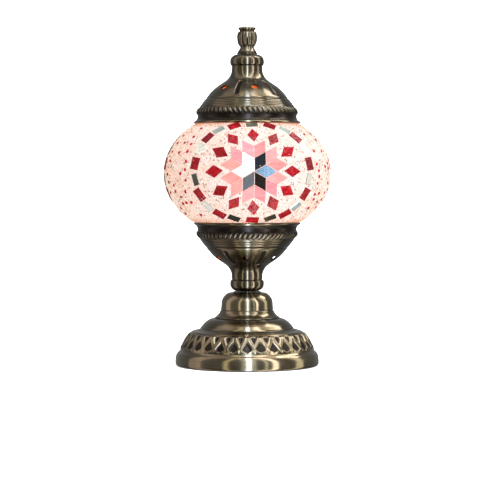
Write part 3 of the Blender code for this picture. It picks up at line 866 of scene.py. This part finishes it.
def makeFittings():
    sizes = fittingSizes
    clear = sizes["pipeClearance"]
    ring = [(clear, 60.9), (11.2, 60.9), (11.55, 61.05), (11.55, 61.35), (11.2, 61.5), (clear, 61.5)]
    solidOutline("neckRing", "neck_ring", ring + ring[:1], "base", "darkBrass")
    clear = sizes["studClearance"]
    collar = [(clear, 257.3), (8.2, 257.3), (8.55, 257.5), (8.55, 258.0), (8.2, 258.2), (clear, 258.2)]
    solidOutline("finialCollar", "finial_collar", collar + collar[:1], "cap", "shadedBrass")
    pipe, bore = sizes["pipe"], sizes["pipeBore"]
    line = [(bore, 5.2), (pipe, 5.2), (pipe, 62.0)] + curveThrough([(pipe, 62.0), (pipe, 91.5)], 0.22)[1:]
    line += [(bore, 91.5), (bore, 5.2)]
    thread = threadRelief(sizes["threadPitch"], sizes["threadDepth"], 62.0, 91.2)
    solidOutline("stemTube", "stem_tube", line, "base", "zinc", thread, 48)
    clear = sizes["pipeClearance"]
    cup = [(clear, 84.4), (9.4, 84.4), (10.5, 84.75), (11.05, 85.6), (11.2, 86.8)]
    side = [(11.2, 86.8), (11.2, 93.4), (11.05, 93.7), (11.05, 94.2), (11.2, 94.5), (11.2, 95.8)]
    side += [(11.0, 96.0)]
    back = [(10.2, 96.0), (10.2, 86.8), (9.3, 85.4), (clear, 85.4), (clear, 84.4)]
    line = curveThrough(cup, 0.4) + curveThrough(side, 0.8)[1:] + back
    solidOutline("socketCap", "socket_cap", line, "base", "darkBrass")
    body, well, hole = sizes["socket"], sizes["well"], sizes["wireHole"]
    line = [(hole, 92.0), (body - 0.4, 92.0), (body, 92.4)]
    line += curveThrough([(body, 92.4), (body, 120.9)], 0.5)[1:]
    line += [(body - 0.15, 121.3), (body - 0.5, 121.5), (well + 0.4, 121.5), (well, 121.1), (well, 98.5)]
    line += [(hole, 98.5), (hole, 92.0)]
    ribs = ribbedRelief(sizes["ribs"], sizes["ribDepth"], 97.5, 113.0)
    solidOutline("socketBody", "socket_body", line, "base", "phenolic", ribs, 288)


makeFittings()
print("fittings ready")

bulbSizes = {
    "radius": 17.5,
    "centre": 146.0,
    "neck": 5.95,
    "low": 121.0,
    "wall": 0.8,
    "opening": 0.55,
    "glow": 0.27,
    "glowColour": (1.0, 0.72, 0.45),
    "glowRadius": 8.0,
}


def bulbSide(inset):  # neck and ball, from the neck's end to the crown
    sizes = bulbSizes
    radius, neck, low = sizes["radius"] - inset, sizes["neck"] - inset, sizes["low"]
    start = asin(sizes["opening"])
    turns = [start + (pi - start) * step / 40 for step in range(41)]
    ball = [(radius * sin(turn), sizes["centre"] - radius * cos(turn)) for turn in turns]
    ball[-1] = (0.0, sizes["centre"] + radius)
    return curveThrough([(neck, low), (neck, low + 3.4), (neck + 1.3, low + 6.4), ball[0]], 0.5) + ball[1:]


def makeBulb():
    sizes = bulbSizes
    line = bulbSide(sizes["wall"])[::-1] + bulbSide(0.0)
    glass = solidOutline("bulbGlass", "bulb_glass", line, "bulb", "bulbGlass")
    glass.visible_shadow = False
    stalk = curveThrough([(3.6, 117.0), (3.6, 119.0), (1.3, 125.0), (1.6, 136.4)], 0.5)
    mount = [(0.0, 117.0)] + stalk + [(1.2, 136.9), (0.0, 137.0)]
    solidOutline("bulbMount", "bulb_stem", mount, "bulb", "bulbGlass", plain, 32)
    data = bpy.data.lights.new("bulbLight", "POINT")
    data.energy = sizes["glow"]
    data.color = sizes["glowColour"]
    data.shadow_soft_size = sizes["glowRadius"] * mm
    lamp = newObject("bulbLight", data)
    lamp.location = (0, 0, sizes["centre"] * mm)
    lamp.visible_camera = False


makeBulb()
print("bulb ready")

clipSizes = {
    "wire": 0.7,
    "count": 3,
    "route": (
        (27.2, 25.4), (29.6, 21.0), (31.0, 14.0), (31.6, 4.0), (31.6, -1.0), (30.2, -3.6), (27.6, -5.4),
    ),
    "cupFirst": 180.0,
    "capFirst": 0.0,
}


def clipTree():  # a wire along a route, repeated round the axis
    inputs = {"Route": "Object", "Wire": "Float", "Count": "Int", "First": "Float", "Finish": "Material"}
    nodes, given = newTree("springWires", inputs)
    line = nodes.add("GeometryNodeMeshToCurve", None, {"Mesh": nodes.meshOf(given["Route"])})
    section = nodes.add("GeometryNodeCurvePrimitiveCircle", None, {"Resolution": 14, "Radius": given["Wire"]})
    values = {"Curve": line, "Profile Curve": section, "Fill Caps": True}
    wire = nodes.add("GeometryNodeCurveToMesh", None, values)
    spots = nodes.add("GeometryNodeMeshLine", None, {"Count": given["Count"], "Offset": (0, 0, 0)})
    turn = nodes.add("GeometryNodeInputIndex") * tau / given["Count"] + given["First"]
    turned = nodes.add("FunctionNodeEulerToRotation", None, {0: nodes.vector(z=turn)})
    values = {"Points": spots, "Instance": wire, "Rotation": turned}
    wires = nodes.add("GeometryNodeInstanceOnPoints", None, values)
    return closeTree(nodes, wires, given["Finish"])


def makeClips():
    sizes = clipSizes
    tree = clipTree()
    for name, body, first, lip, up in (
        ("cupClips", "base", sizes["cupFirst"], cupLip, -1),
        ("capClips", "cap", sizes["capFirst"], capLip, 1),
    ):
        line = [(r, lip / mm + up * h) for r, h in sizes["route"]]
        route = outlineObject(name + "Route", curveThrough(line, 0.8))
        values = {"Route": route, "Wire": sizes["wire"] * mm, "Count": sizes["count"]}
        values.update({"First": radians(first - 90.0), "Finish": finishes["zinc"]})
        clips = grow(name, tree, values)
        bpy.data.objects.remove(route)
        stem = name[:3] + "_clip_"
        settle(clips, body, [stem + str(number + 1) for number in range(sizes["count"])])


makeClips()
print("clips ready")

bushingSizes = {"bore": 2.7, "tube": 1.1, "thickness": 1.6, "round": 0.4}


def makeBushing():  # turned upright, then laid along Y in the foot's rear wall
    low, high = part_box("cord_bushing")
    flange = (high[2] - low[2]) / 2 / mm
    inner, outer = low[1] / mm, high[1] / mm
    edge = bushingSizes["round"]
    bore = flange - bushingSizes["bore"]
    tube = bore + bushingSizes["tube"]
    face = outer - bushingSizes["thickness"]
    line = [(bore, inner), (tube, inner), (tube, face), (flange, face)]
    rounded = [(flange, face), (flange, outer - edge * 2), (flange - edge * 0.6, outer - edge * 0.5)]
    line += curveThrough(rounded, 0.2)[1:]
    line += [(flange - edge * 2, outer), (bore + edge, outer), (bore, outer - edge), (bore, inner)]
    piece = turnedPiece("cordSleeve", line, len(line), plain, 64, finishes["rubber"])
    raised = Matrix.Translation((0, 0, (low[2] + high[2]) / 2))
    piece.data.transform(raised @ Matrix.Rotation(-pi / 2, 4, "X"))
    settle(piece, "base", ["cord_bushing"])


makeBushing()

nodeFinishes = {  # pieces kept as the frame has them
    "zinc": (
        "lower_washer", "lower_nut", "cup_washer", "cup_nut", "socket_nut",
        "finial_washer", "finial_nut", "finial_stud", "bulb_contact",
    ),
    "iron": ("base_weight",),
    "board": ("base_board",),
    "felt": ("felt_pad",),
    "brightBrass": ("socket_screw_shell", "socket_contact", "bulb_screw_cap"),
    "phenolic": ("bulb_insulator",),
    "filament": ("bulb_filament",),
}
for finish, names in nodeFinishes.items():
    for name in names:
        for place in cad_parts[name].material_slots:
            place.material = finishes[finish]
print("kept pieces painted")

globeSizes = {
    "radius": 69.85,
    "halfHeight": 53.0,
    "centre": 159.0,
    "groutInset": 0.95,
    "crust": 1.85,
    "glassInset": 2.35,
    "glassWall": 2.4,
    "lipGap": 0.3,
    "segments": 192,
    "glassSegments": 160,
}
medallions = {"azimuths": (5.0, 127.0, 239.0), "height": 160.5}


def ellipsePoint(phi, inset):  # (radius, height) in mm at an inset along the normal
    a, b = globeSizes["radius"], globeSizes["halfHeight"]
    normal = Vector((b * cos(phi), a * sin(phi))).normalized()
    return a * cos(phi) - normal.x * inset, globeSizes["centre"] + b * sin(phi) - normal.y * inset


def ellipseSide(low, high, inset, steps):
    half = globeSizes["halfHeight"] - inset
    first, last = (asin((height - globeSizes["centre"]) / half) for height in (low, high))
    return [ellipsePoint(first + (last - first) * step / steps, inset) for step in range(steps + 1)]


def meridian():  # arc length along the globe's side for each of many angles, from its equator
    table = [(0.0, 0.0)]
    a, b = globeSizes["radius"], globeSizes["halfHeight"]
    step = radians(0.25)
    for index in range(340):
        phi = (index + 0.5) * step
        table.append((table[-1][0] + hypot(a * sin(phi), b * cos(phi)) * step, (index + 1) * step))
    return table


meridianTable = meridian()


def angleAt(length):
    away = abs(length)
    for (low, first), (high, last) in zip(meridianTable, meridianTable[1:]):
        if away <= high:
            phi = first + (last - first) * (away - low) / (high - low)
            return phi if length >= 0 else -phi
    return meridianTable[-1][1]


def onGlobe(azimuth, u, v, inset):  # a place u mm right and v mm up of a medallion's middle
    start = asin((medallions["height"] - globeSizes["centre"]) / globeSizes["halfHeight"])
    middle = next(length for length, phi in meridianTable if phi >= start)
    phi = angleAt(middle + v)
    reach, height = ellipsePoint(phi, inset)
    turn = azimuth + u / (globeSizes["radius"] * cos(phi)) * 180 / pi
    out = facing(turn)
    a, b = globeSizes["radius"], globeSizes["halfHeight"]
    normal = (out * b * cos(phi) + Vector((0, 0, a * sin(phi)))).normalized()
    return out * reach + Vector((0, 0, height)), normal


def setting(azimuth, u, v, turn, size, tint, inset):
    # one tile: its place, the way it faces, the way its length runs (turn is clockwise from up)
    point, normal = onGlobe(azimuth, u, v, inset)
    ahead = onGlobe(azimuth, u + 0.5 * sin(radians(turn)), v + 0.5 * cos(radians(turn)), inset)[0] - point
    along = (ahead - normal * ahead.dot(normal)).normalized()
    return {"place": point * mm, "facing": normal, "along": along, "size": Vector(size) * mm, "tint": tint}


flowerSizes = {
    "side": 11.0,  # rhombus side, grout line included
    "groutLine": 0.75,
    "thickness": 1.3,
    "diamondRing": 32.8,
    "diamond": (10.0, 15.8),
    "topDiamond": (9.6, 14.4),
    "bandAcross": 51.4,
    "bandUp": 46.7,
    "bandTiles": 22,
    "redBand": (7.6, 10.4),
    "mirrorBand": (6.0, 9.6),
}
dotSizes = {
    "size": 3.1,
    "thickness": 1.2,
    "ring": 44,
    "reach": 61.5,
    "strays": 10,
    "clearOfTiles": 1.1,
    "apart": 4.2,
}
tileInsets = {"mirror": 0.62, "pink": 0.68, "red": 0.65, "band": 0.6, "dot": 0.25}
# each star mirror's colour is partly its glass tint and partly a painted reflection, near black for dark
# surroundings and near white for bright
starTintsAndPaintedReflections = (
    (0.03, 0.034, 0.045),  # upper right, then clockwise
    (0.36, 0.58, 0.82),
    (0.045, 0.028, 0.02),
    (0.012, 0.01, 0.008),
    (0.93, 0.97, 1.0),
    (0.9, 0.96, 0.97),
)
# each band mirror's colour is partly its glass tint and partly a painted reflection, dark or pale
bandTintsAndPaintedReflections = (
    (0.3, 0.28, 0.2),
    (0.78, 0.86, 0.78),
    (0.9, 0.95, 0.94),
    (0.3, 0.3, 0.28),
    (0.8, 0.86, 0.82),
    (0.09, 0.085, 0.05),
    (0.1, 0.095, 0.06),
    (0.62, 0.67, 0.6),
    (0.16, 0.155, 0.12),
    (0.66, 0.7, 0.6),
    (0.7, 0.76, 0.68),
)


def flowerTiles():
    tiles = {"mirror": [], "red": [], "pink": [], "cutMirror": [], "cutRed": []}
    sizes = flowerSizes
    side = sizes["side"]
    shrink = (side - sizes["groutLine"]) / side
    for number, azimuth in enumerate(medallions["azimuths"]):
        draw = Random(40 + number)
        rhombus = (side * shrink, side * sqrt(3) * shrink, sizes["thickness"])
        for index in range(6):
            turn = 30 + 60 * index
            reach = side * sqrt(3) / 2
            u, v = reach * sin(radians(turn)), reach * cos(radians(turn))
            tint = starTintsAndPaintedReflections[(index + number * 2) % 6]
            tiles["mirror"].append(setting(azimuth, u, v, turn, rhombus, tint, tileInsets["mirror"]))
            notch = 60 * index
            for lean in (-30, 30):
                tip = Vector((sin(radians(notch + lean)), cos(radians(notch + lean)))) * side * sqrt(3)
                base = Vector((sin(radians(notch)), cos(radians(notch)))) * side * 2
                u, v = (tip + base) / 2
                shade = draw.uniform(-1, 1)
                tint = (0.24, 0.09 + 0.03 * shade, 0.08 + 0.02 * shade + draw.uniform(0, 0.04))
                tiles["pink"].append(setting(azimuth, u, v, notch + lean, rhombus, tint, tileInsets["pink"]))
        for index in range(12):
            turn = 30 * index
            reach = sizes["diamondRing"] + draw.uniform(-0.8, 0.8)
            width, length = (value * draw.uniform(0.94, 1.05) for value in sizes["diamond"])
            if index == 0:
                width, length = sizes["topDiamond"]
            u, v = reach * sin(radians(turn)), reach * cos(radians(turn))
            shade = draw.uniform(0.55, 1.25)
            tint = (0.2 * shade, 0.0015 * shade, 0.005 * shade)
            size = (width, length, sizes["thickness"])
            lean = turn + draw.uniform(-9, 9)
            tiles["red"].append(setting(azimuth, u, v, lean, size, tint, tileInsets["red"]))
        for index in range(sizes["bandTiles"]):
            turn = 360 / sizes["bandTiles"] * index
            u = sizes["bandAcross"] * sin(radians(turn)) + draw.uniform(-0.5, 0.5)
            v = sizes["bandUp"] * cos(radians(turn)) + draw.uniform(-0.4, 0.4)
            mirrored = index % 2 == 0
            width, length = sizes["mirrorBand" if mirrored else "redBand"]
            size = (length * draw.uniform(0.94, 1.04), width * draw.uniform(0.92, 1.06), sizes["thickness"])
            lean = turn + draw.uniform(-8, 8)
            shade = draw.uniform(0.45, 1.1)
            tint = bandTintsAndPaintedReflections[(index // 2 + number * 3) % 11] if mirrored else (0.17 * shade, 0.001, 0.004)
            kind = "cutMirror" if mirrored else "cutRed"
            tiles[kind].append(setting(azimuth, u, v, lean, size, tint, tileInsets["band"]))
    return tiles


def dotPlaces(taken):  # small red beads scattered between the medallions
    draw = Random(8)
    sizes = dotSizes
    dots = []
    for azimuth in medallions["azimuths"]:
        for step in range(sizes["ring"]):
            turn = 360 / sizes["ring"] * step + draw.uniform(-2.5, 2.5)
            reach = sizes["reach"] + draw.uniform(-1.6, 2.2)
            u, v = reach * 1.02 * sin(radians(turn)), reach * cos(radians(turn))
            if abs(v) < 42 and draw.random() < 0.86:
                dots.append((azimuth, u, v))
        for stray in range(sizes["strays"]):
            side = 1 if draw.random() < 0.5 else -1
            dots.append((azimuth, side * draw.uniform(63, 74), draw.uniform(-34, 34)))
    placed = []
    for azimuth, u, v in dots:
        size = sizes["size"] * draw.uniform(0.82, 1.12)
        turn = draw.uniform(0, 360)
        shade = draw.uniform(0.5, 1.2)
        tint = (0.42 * shade, 0.004, 0.014 * shade)
        item = setting(azimuth, u, v, turn, (size * 0.86, size, sizes["thickness"]), tint, tileInsets["dot"])
        gaps = [(other, other["size"].length / 2 + sizes["clearOfTiles"] * mm) for other in taken]
        gaps += [(other, sizes["apart"] * mm) for other in placed]
        if all((other["place"] - item["place"]).length >= gap for other, gap in gaps):
            placed.append(item)
    return placed


def placesObject(name, settings):
    places = meshObject(name, [item["place"] for item in settings])
    for key in ("facing", "along", "size"):
        values = [number for item in settings for number in item[key]]
        places.data.attributes.new(key, "FLOAT_VECTOR", "POINT").data.foreach_set("vector", values)
    tints = [number for item in settings for number in (*item["tint"], 1.0)]
    places.data.attributes.new("tint", "FLOAT_COLOR", "POINT").data.foreach_set("color", tints)
    return places


def tileShape(name, corners, chamfer):  # a flat tile of unit size lying in XY, its face at z = 0
    rings = [(1.0, -1.0), (1.0, -chamfer[1]), (1.0 - chamfer[0], 0.0)]
    vertices = [(x * scale, y * scale, height) for scale, height in rings for x, y in corners]
    count = len(corners)
    faces = [list(range(count))[::-1], list(range(2 * count, 3 * count))]
    for level in (0, count):
        for i in range(count):
            after = (i + 1) % count
            faces.append([level + i, level + after, level + count + after, level + count + i])
    return meshObject(name, vertices, [], faces)


def tileTree():
    inputs = {"Places": "Object", "Shape": "Object", "Split": "Int", "Waviness": "Float", "Seed": "Float"}
    nodes, given = newTree("tileSetting", {**inputs, "Finish": "Material"})
    values = {"Mesh": nodes.meshOf(given["Shape"]), "Level": given["Split"]}
    shape = nodes.add("GeometryNodeSubdivideMesh", None, values)
    values = {"Primary Axis": nodes.recall("facing", "FLOAT_VECTOR")}
    values["Secondary Axis"] = nodes.recall("along", "FLOAT_VECTOR")
    settings = {"primary_axis": "Z", "secondary_axis": "Y"}
    turn = nodes.add("FunctionNodeAxesToRotation", settings, values)
    values = {"Points": nodes.meshOf(given["Places"]), "Instance": shape, "Rotation": turn}
    values["Scale"] = nodes.recall("size", "FLOAT_VECTOR")
    tiles = nodes.add("GeometryNodeInstanceOnPoints", None, values)
    tiles = nodes.add("GeometryNodeRealizeInstances", None, {"Geometry": tiles})
    place = nodes.add("GeometryNodeInputPosition")
    values = {"Vector": place, "W": given["Seed"], "Scale": 130.0, "Detail": 2.0}
    drift = nodes.add("ShaderNodeTexNoise", {"noise_dimensions": "4D"}, values, "Color")
    drift = nodes.add("ShaderNodeVectorMath", {"operation": "SUBTRACT"}, {0: drift, 1: (0.5, 0.5, 0.5)})
    drift = nodes.scaled(drift, given["Waviness"])
    tiles = nodes.add("GeometryNodeSetPosition", None, {"Geometry": tiles, "Offset": drift})
    return closeTree(nodes, tiles, given["Finish"], smooth=False)


def makeTiles():
    tiles = flowerTiles()
    tiles["dot"] = dotPlaces([item for group in tiles.values() for item in group])
    diamond = tileShape("diamondShape", ((0, -0.5), (0.5, 0), (0, 0.5), (-0.5, 0)), (0.05, 0.2))
    oblong = tileShape("oblongShape", ((-0.5, -0.5), (0.5, -0.5), (0.5, 0.5), (-0.5, 0.5)), (0.05, 0.2))
    ringOf = [(0.5 * cos(tau * i / 10), 0.5 * sin(tau * i / 10)) for i in range(10)]
    pebble = tileShape("pebbleShape", ringOf, (0.34, 0.42))
    tree = tileTree()
    made = []
    plan = (
        ("mirrorStar", "mirror", diamond, 2, 0.00012, "mirror"),
        ("mirrorBand", "cutMirror", oblong, 2, 0.0003, "mirror"),
        ("pinkPetals", "pink", diamond, 2, 0.00025, "pinkGlass"),
        ("redDiamonds", "red", diamond, 2, 0.0006, "redGlass"),
        ("redBand", "cutRed", oblong, 2, 0.0006, "redGlass"),
        ("redDots", "dot", pebble, 1, 0.0004, "redGlass"),
    )
    for index, (name, group, shape, split, waviness, finish) in enumerate(plan):
        places = placesObject(name + "Places", tiles[group])
        values = {"Places": places, "Shape": shape, "Split": split, "Waviness": waviness, "Seed": index * 3.7}
        values["Finish"] = finishes[finish]
        made.append(grow(name, tree, values))
        bpy.data.objects.remove(places)
    for shape in (diamond, oblong, pebble):
        bpy.data.objects.remove(shape)
    return made


beadSizes = {
    "spacing": 1.32,
    "radius": 0.74,
    "smallest": 0.74,  # of a bead's full size
    "largest": 1.08,
    "clearance": 0.62,
    "seed": 5,
    "sectors": 3,
}


def beadTree():
    inputs = {
        "Ground": "Object", "Tiles": "Object", "Bead": "Object", "Spacing": "Float", "Clearance": "Float",
        "Seed": "Int", "Sector": "Float", "Sectors": "Float", "Finish": "Material",
    }
    nodes, given = newTree("beadField", inputs)
    values = {"Mesh": nodes.meshOf(given["Ground"]), "Distance Min": given["Spacing"], "Seed": given["Seed"]}
    values["Density Max"] = 2000000.0
    settings = {"distribute_method": "POISSON"}
    points = nodes.add("GeometryNodeDistributePointsOnFaces", settings, values, "Points")
    turn = Term(nodes.tree, next(s for s in points.socket.node.outputs if s.name == "Rotation"))
    values = {"Geometry": nodes.meshOf(given["Tiles"])}
    away = nodes.add("GeometryNodeProximity", {"target_element": "FACES"}, values, "Distance")
    x, y, z = nodes.split(nodes.add("GeometryNodeInputPosition"))
    around = (y.maths("ARCTAN2", x) / tau + 0.5) * given["Sectors"]
    other = ((around - given["Sector"] - 0.5).maths("ABSOLUTE") > 0.5) + (away < given["Clearance"])
    values = {"Geometry": points, "Selection": other}
    kept = nodes.add("GeometryNodeDeleteGeometry", {"domain": "POINT"}, values)

    def chance(low, high, seed):
        values = {"Min": low, "Max": high, "Seed": seed}
        return nodes.add("FunctionNodeRandomValue", {"data_type": "FLOAT"}, values, "Value")

    values = {"Points": kept, "Instance": nodes.meshOf(given["Bead"]), "Rotation": turn}
    values["Scale"] = chance(beadSizes["smallest"], beadSizes["largest"], 3)
    beads = nodes.add("GeometryNodeInstanceOnPoints", None, values)
    beads = nodes.store(beads, "tone", chance(0.0, 1.0, 9), "INSTANCE")
    return closeTree(nodes, beads, given["Finish"])


def beadShape():
    bm = bmesh.new()
    bmesh.ops.create_uvsphere(bm, u_segments=8, v_segments=4, radius=beadSizes["radius"] * mm)
    return bmeshObject("beadShape", bm)


def everyTile(pieces):  # all tiles in one mesh, for the beads to keep clear of
    bm = bmesh.new()
    for piece in pieces:
        bm.from_mesh(piece.data)
    return bmeshObject("everyTile", bm)


def groundSheet(low, high):  # open sheet on the grout's outer face, for scattering on
    side = ellipseSide(low, high, globeSizes["groutInset"] + 0.1, 60)
    count = 160
    spokes = [facing(360 / count * i) for i in range(count)]
    vertices = [(out * r + Vector((0, 0, z))) * mm for r, z in side for out in spokes]
    faces = [
        (row + i, row + (i + 1) % count, row + count + (i + 1) % count, row + count + i)
        for row in range(0, (len(side) - 1) * count, count)
        for i in range(count)
    ]
    return meshObject("ground", vertices, [], faces)


def shellBetween(name, insets, heights, segments, finish, steps):
    outer = ellipseSide(*heights, insets[0], steps)
    inner = ellipseSide(*heights, insets[1], 30)
    points = outer + inner[::-1] + [outer[0]]
    return turnedPiece(name, points, len(outer), plain, segments, finishes[finish])


def makeGlobe():
    sizes = globeSizes
    low, high = cupLip / mm + sizes["lipGap"], capLip / mm - sizes["lipGap"]
    insets = (sizes["groutInset"], sizes["crust"])
    grout = shellBetween("grout", insets, (low, high), sizes["segments"], "grout", 90)
    settle(grout, "globe", ["bead_layer"])
    ends = (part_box("globe_glass_lower")[0][2] / mm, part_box("globe_glass_upper")[1][2] / mm)
    insets = (sizes["glassInset"], sizes["glassInset"] + sizes["glassWall"])
    glass = shellBetween("globeGlass", insets, ends, sizes["glassSegments"], "glass", 60)
    settle(glass, "globe", ["globe_glass_upper", "globe_glass_lower"])
    tiles = makeTiles()
    for piece in tiles:
        settle(piece, "globe", ["medallion_1", "medallion_2", "medallion_3"])
    helpers = {"Ground": groundSheet(low + 0.7, high - 0.7), "Tiles": everyTile(tiles), "Bead": beadShape()}
    tree = beadTree()
    count = beadSizes["sectors"]
    for sector in range(count):
        values = {
            **helpers, "Spacing": beadSizes["spacing"] * mm, "Clearance": beadSizes["clearance"] * mm,
            "Seed": beadSizes["seed"], "Sector": float(sector), "Sectors": float(count),
            "Finish": finishes["beads"],
        }
        beads = grow(f"beads{sector + 1}", tree, values)
        settle(beads, "globe", ["bead_layer"])
        print("beads", sector + 1, len(beads.data.polygons))
    for helper in helpers.values():
        bpy.data.objects.remove(helper)


makeGlobe()
print("globe ready")


sweepSizes = {"front": -3.0, "bend": 1.2, "radius": 0.8, "top": 4.0, "half": 4.0, "under": 0.0002}


def makeSweep():  # one pale sheet: floor, curve and backdrop
    sizes = sweepSizes
    bend, radius, half = sizes["bend"], sizes["radius"], sizes["half"]
    line = [(sizes["front"], 0.0), (bend, 0.0)]
    for step in range(1, 13):
        turn = pi / 2 * step / 12
        line.append((bend + radius * sin(turn), radius - radius * cos(turn)))
    line.append((bend + radius, sizes["top"]))
    vertices = [(x, y, z - sizes["under"]) for y, z in line for x in (-half, half)]
    faces = [(i * 2, i * 2 + 1, i * 2 + 3, i * 2 + 2) for i in range(len(line) - 1)]
    dull = {"Base Color": (0.93, 0.93, 0.93), "Roughness": 0.9, "Specular IOR Level": 0.1}
    sweep = meshObject("sweep", vertices, [], faces)
    sweep.data.materials.append(principled("paper", dull))
    sweep.data.shade_smooth()
    sweep.visible_glossy = False  # keeps the paper's white out of the metal
    sweep.visible_diffuse = False
    sweep.visible_shadow = False
    return sweep


def areaLight(name, place, target, width, height, power, colour=(1, 1, 1)):
    data = bpy.data.lights.new(name, "AREA")
    data.shape = "RECTANGLE"
    data.size, data.size_y = width, height
    data.energy = power
    data.color = colour
    lamp = newObject(name, data)
    lamp.location = place
    lamp.visible_camera = False
    lamp.rotation_euler = (Vector(target) - Vector(place)).to_track_quat("-Z", "Y").to_euler()
    return lamp


def makeRoom():  # a soft grey room: darker floor, paler front and ceiling
    world = bpy.data.worlds.new("room")
    bpy.context.scene.world = world
    world.use_nodes = True
    nodes = Nodes(world.node_tree)
    x, y, height = nodes.split(nodes.add("ShaderNodeTexCoord", None, None, "Generated"))
    colour = nodes.mix(height.rise(-0.45, 0.1), (0.17, 0.165, 0.165), (0.42, 0.42, 0.41))
    colour = nodes.mix(y.rise(-0.2, 0.7) * 0.6, colour, (0.2, 0.2, 0.2))
    feed(nodes.tree, world.node_tree.nodes["Background"].inputs[0], colour)


roomSizes = {"distance": 2.1, "middle": (0, 0, 0.13), "panelSpan": 42, "panelHeights": (-60, -20, 20, 60)}
strips = (  # azimuth, half width in degrees, brightness, colour
    (3.0, 3.2, 18.0, (0.68, 0.78, 1.0)),
    (3.0, 12.0, 1.3, (0.84, 1.0, 0.98)),
    (31.0, 2.0, 3.0, (0.95, 1.0, 0.92)),
    (46.0, 4.5, 8.5, (1.0, 0.92, 0.9)),
    (92.0, 8.0, 2.5, (1.0, 0.97, 0.8)),
    (-34.0, 4.0, 2.6, (1.0, 0.92, 0.6)),
    (-92.0, 14.0, 1.0, (1.0, 0.82, 0.76)),
)
domePanel = {
    "azimuth": 112.0,
    "lift": 49.0,
    "half": 6.0,
    "height": 0.7,  # of a strip panel's
    "light": (11.0, (1.0, 0.94, 0.9)),
}
paperLights = {  # place, target, width, height, power: they light only the paper
    "paperTop": ((0, -0.4, 2.2), (0, 0, 0), 2.4, 2.0, 60),
    "paperLeft": ((-1.6, 0.2, 1.6), (0, 1.9, 0.4), 1.4, 1.0, 50),
    "paperRight": ((1.6, 0.2, 1.6), (0, 1.9, 0.4), 1.4, 1.0, 50),
}


def panel(name, azimuth, lift, half, tall, brightness, colour):  # faces the lamp from afar
    far, middle = roomSizes["distance"], Vector(roomSizes["middle"])
    wide = 2 * far * sin(radians(half))
    out = facing(azimuth) * cos(radians(lift)) + Vector((0, 0, sin(radians(lift))))
    areaLight(name, middle + out * far, middle, wide, tall, brightness * pi * tall * wide, colour)


def makeLights(sweep):
    tall = 2 * roomSizes["distance"] * sin(radians(roomSizes["panelSpan"] / 2))
    for number, (azimuth, half, brightness, colour) in enumerate(strips):
        for lift in roomSizes["panelHeights"]:
            panel(f"strip{number + 1}At{lift}", azimuth, lift, half, tall, brightness, colour)
    high = domePanel
    panel("domePanel", high["azimuth"], high["lift"], high["half"], tall * high["height"], *high["light"])
    onlyPaper = bpy.data.collections.new("onlyPaper")
    onlyPaper.objects.link(sweep)
    for name, values in paperLights.items():
        areaLight(name, *values).light_linking.receiver_collection = onlyPaper


cameraSizes = {"sensor": 36.0, "lens": 139.4, "place": (0.002, -1.6, 0.157), "target": (0.002, 0, 0.096)}


def makeCamera():
    data = bpy.data.cameras.new("camera")
    data.sensor_width = cameraSizes["sensor"]
    data.lens = cameraSizes["lens"]
    camera = newObject("camera", data)
    camera.location = cameraSizes["place"]
    way = Vector(cameraSizes["target"]) - camera.location
    camera.rotation_euler = way.to_track_quat("-Z", "Y").to_euler()
    bpy.context.scene.camera = camera


makeRoom()
makeLights(makeSweep())
makeCamera()
bpy.context.scene.view_settings.view_transform = "Standard"
print("stage ready")
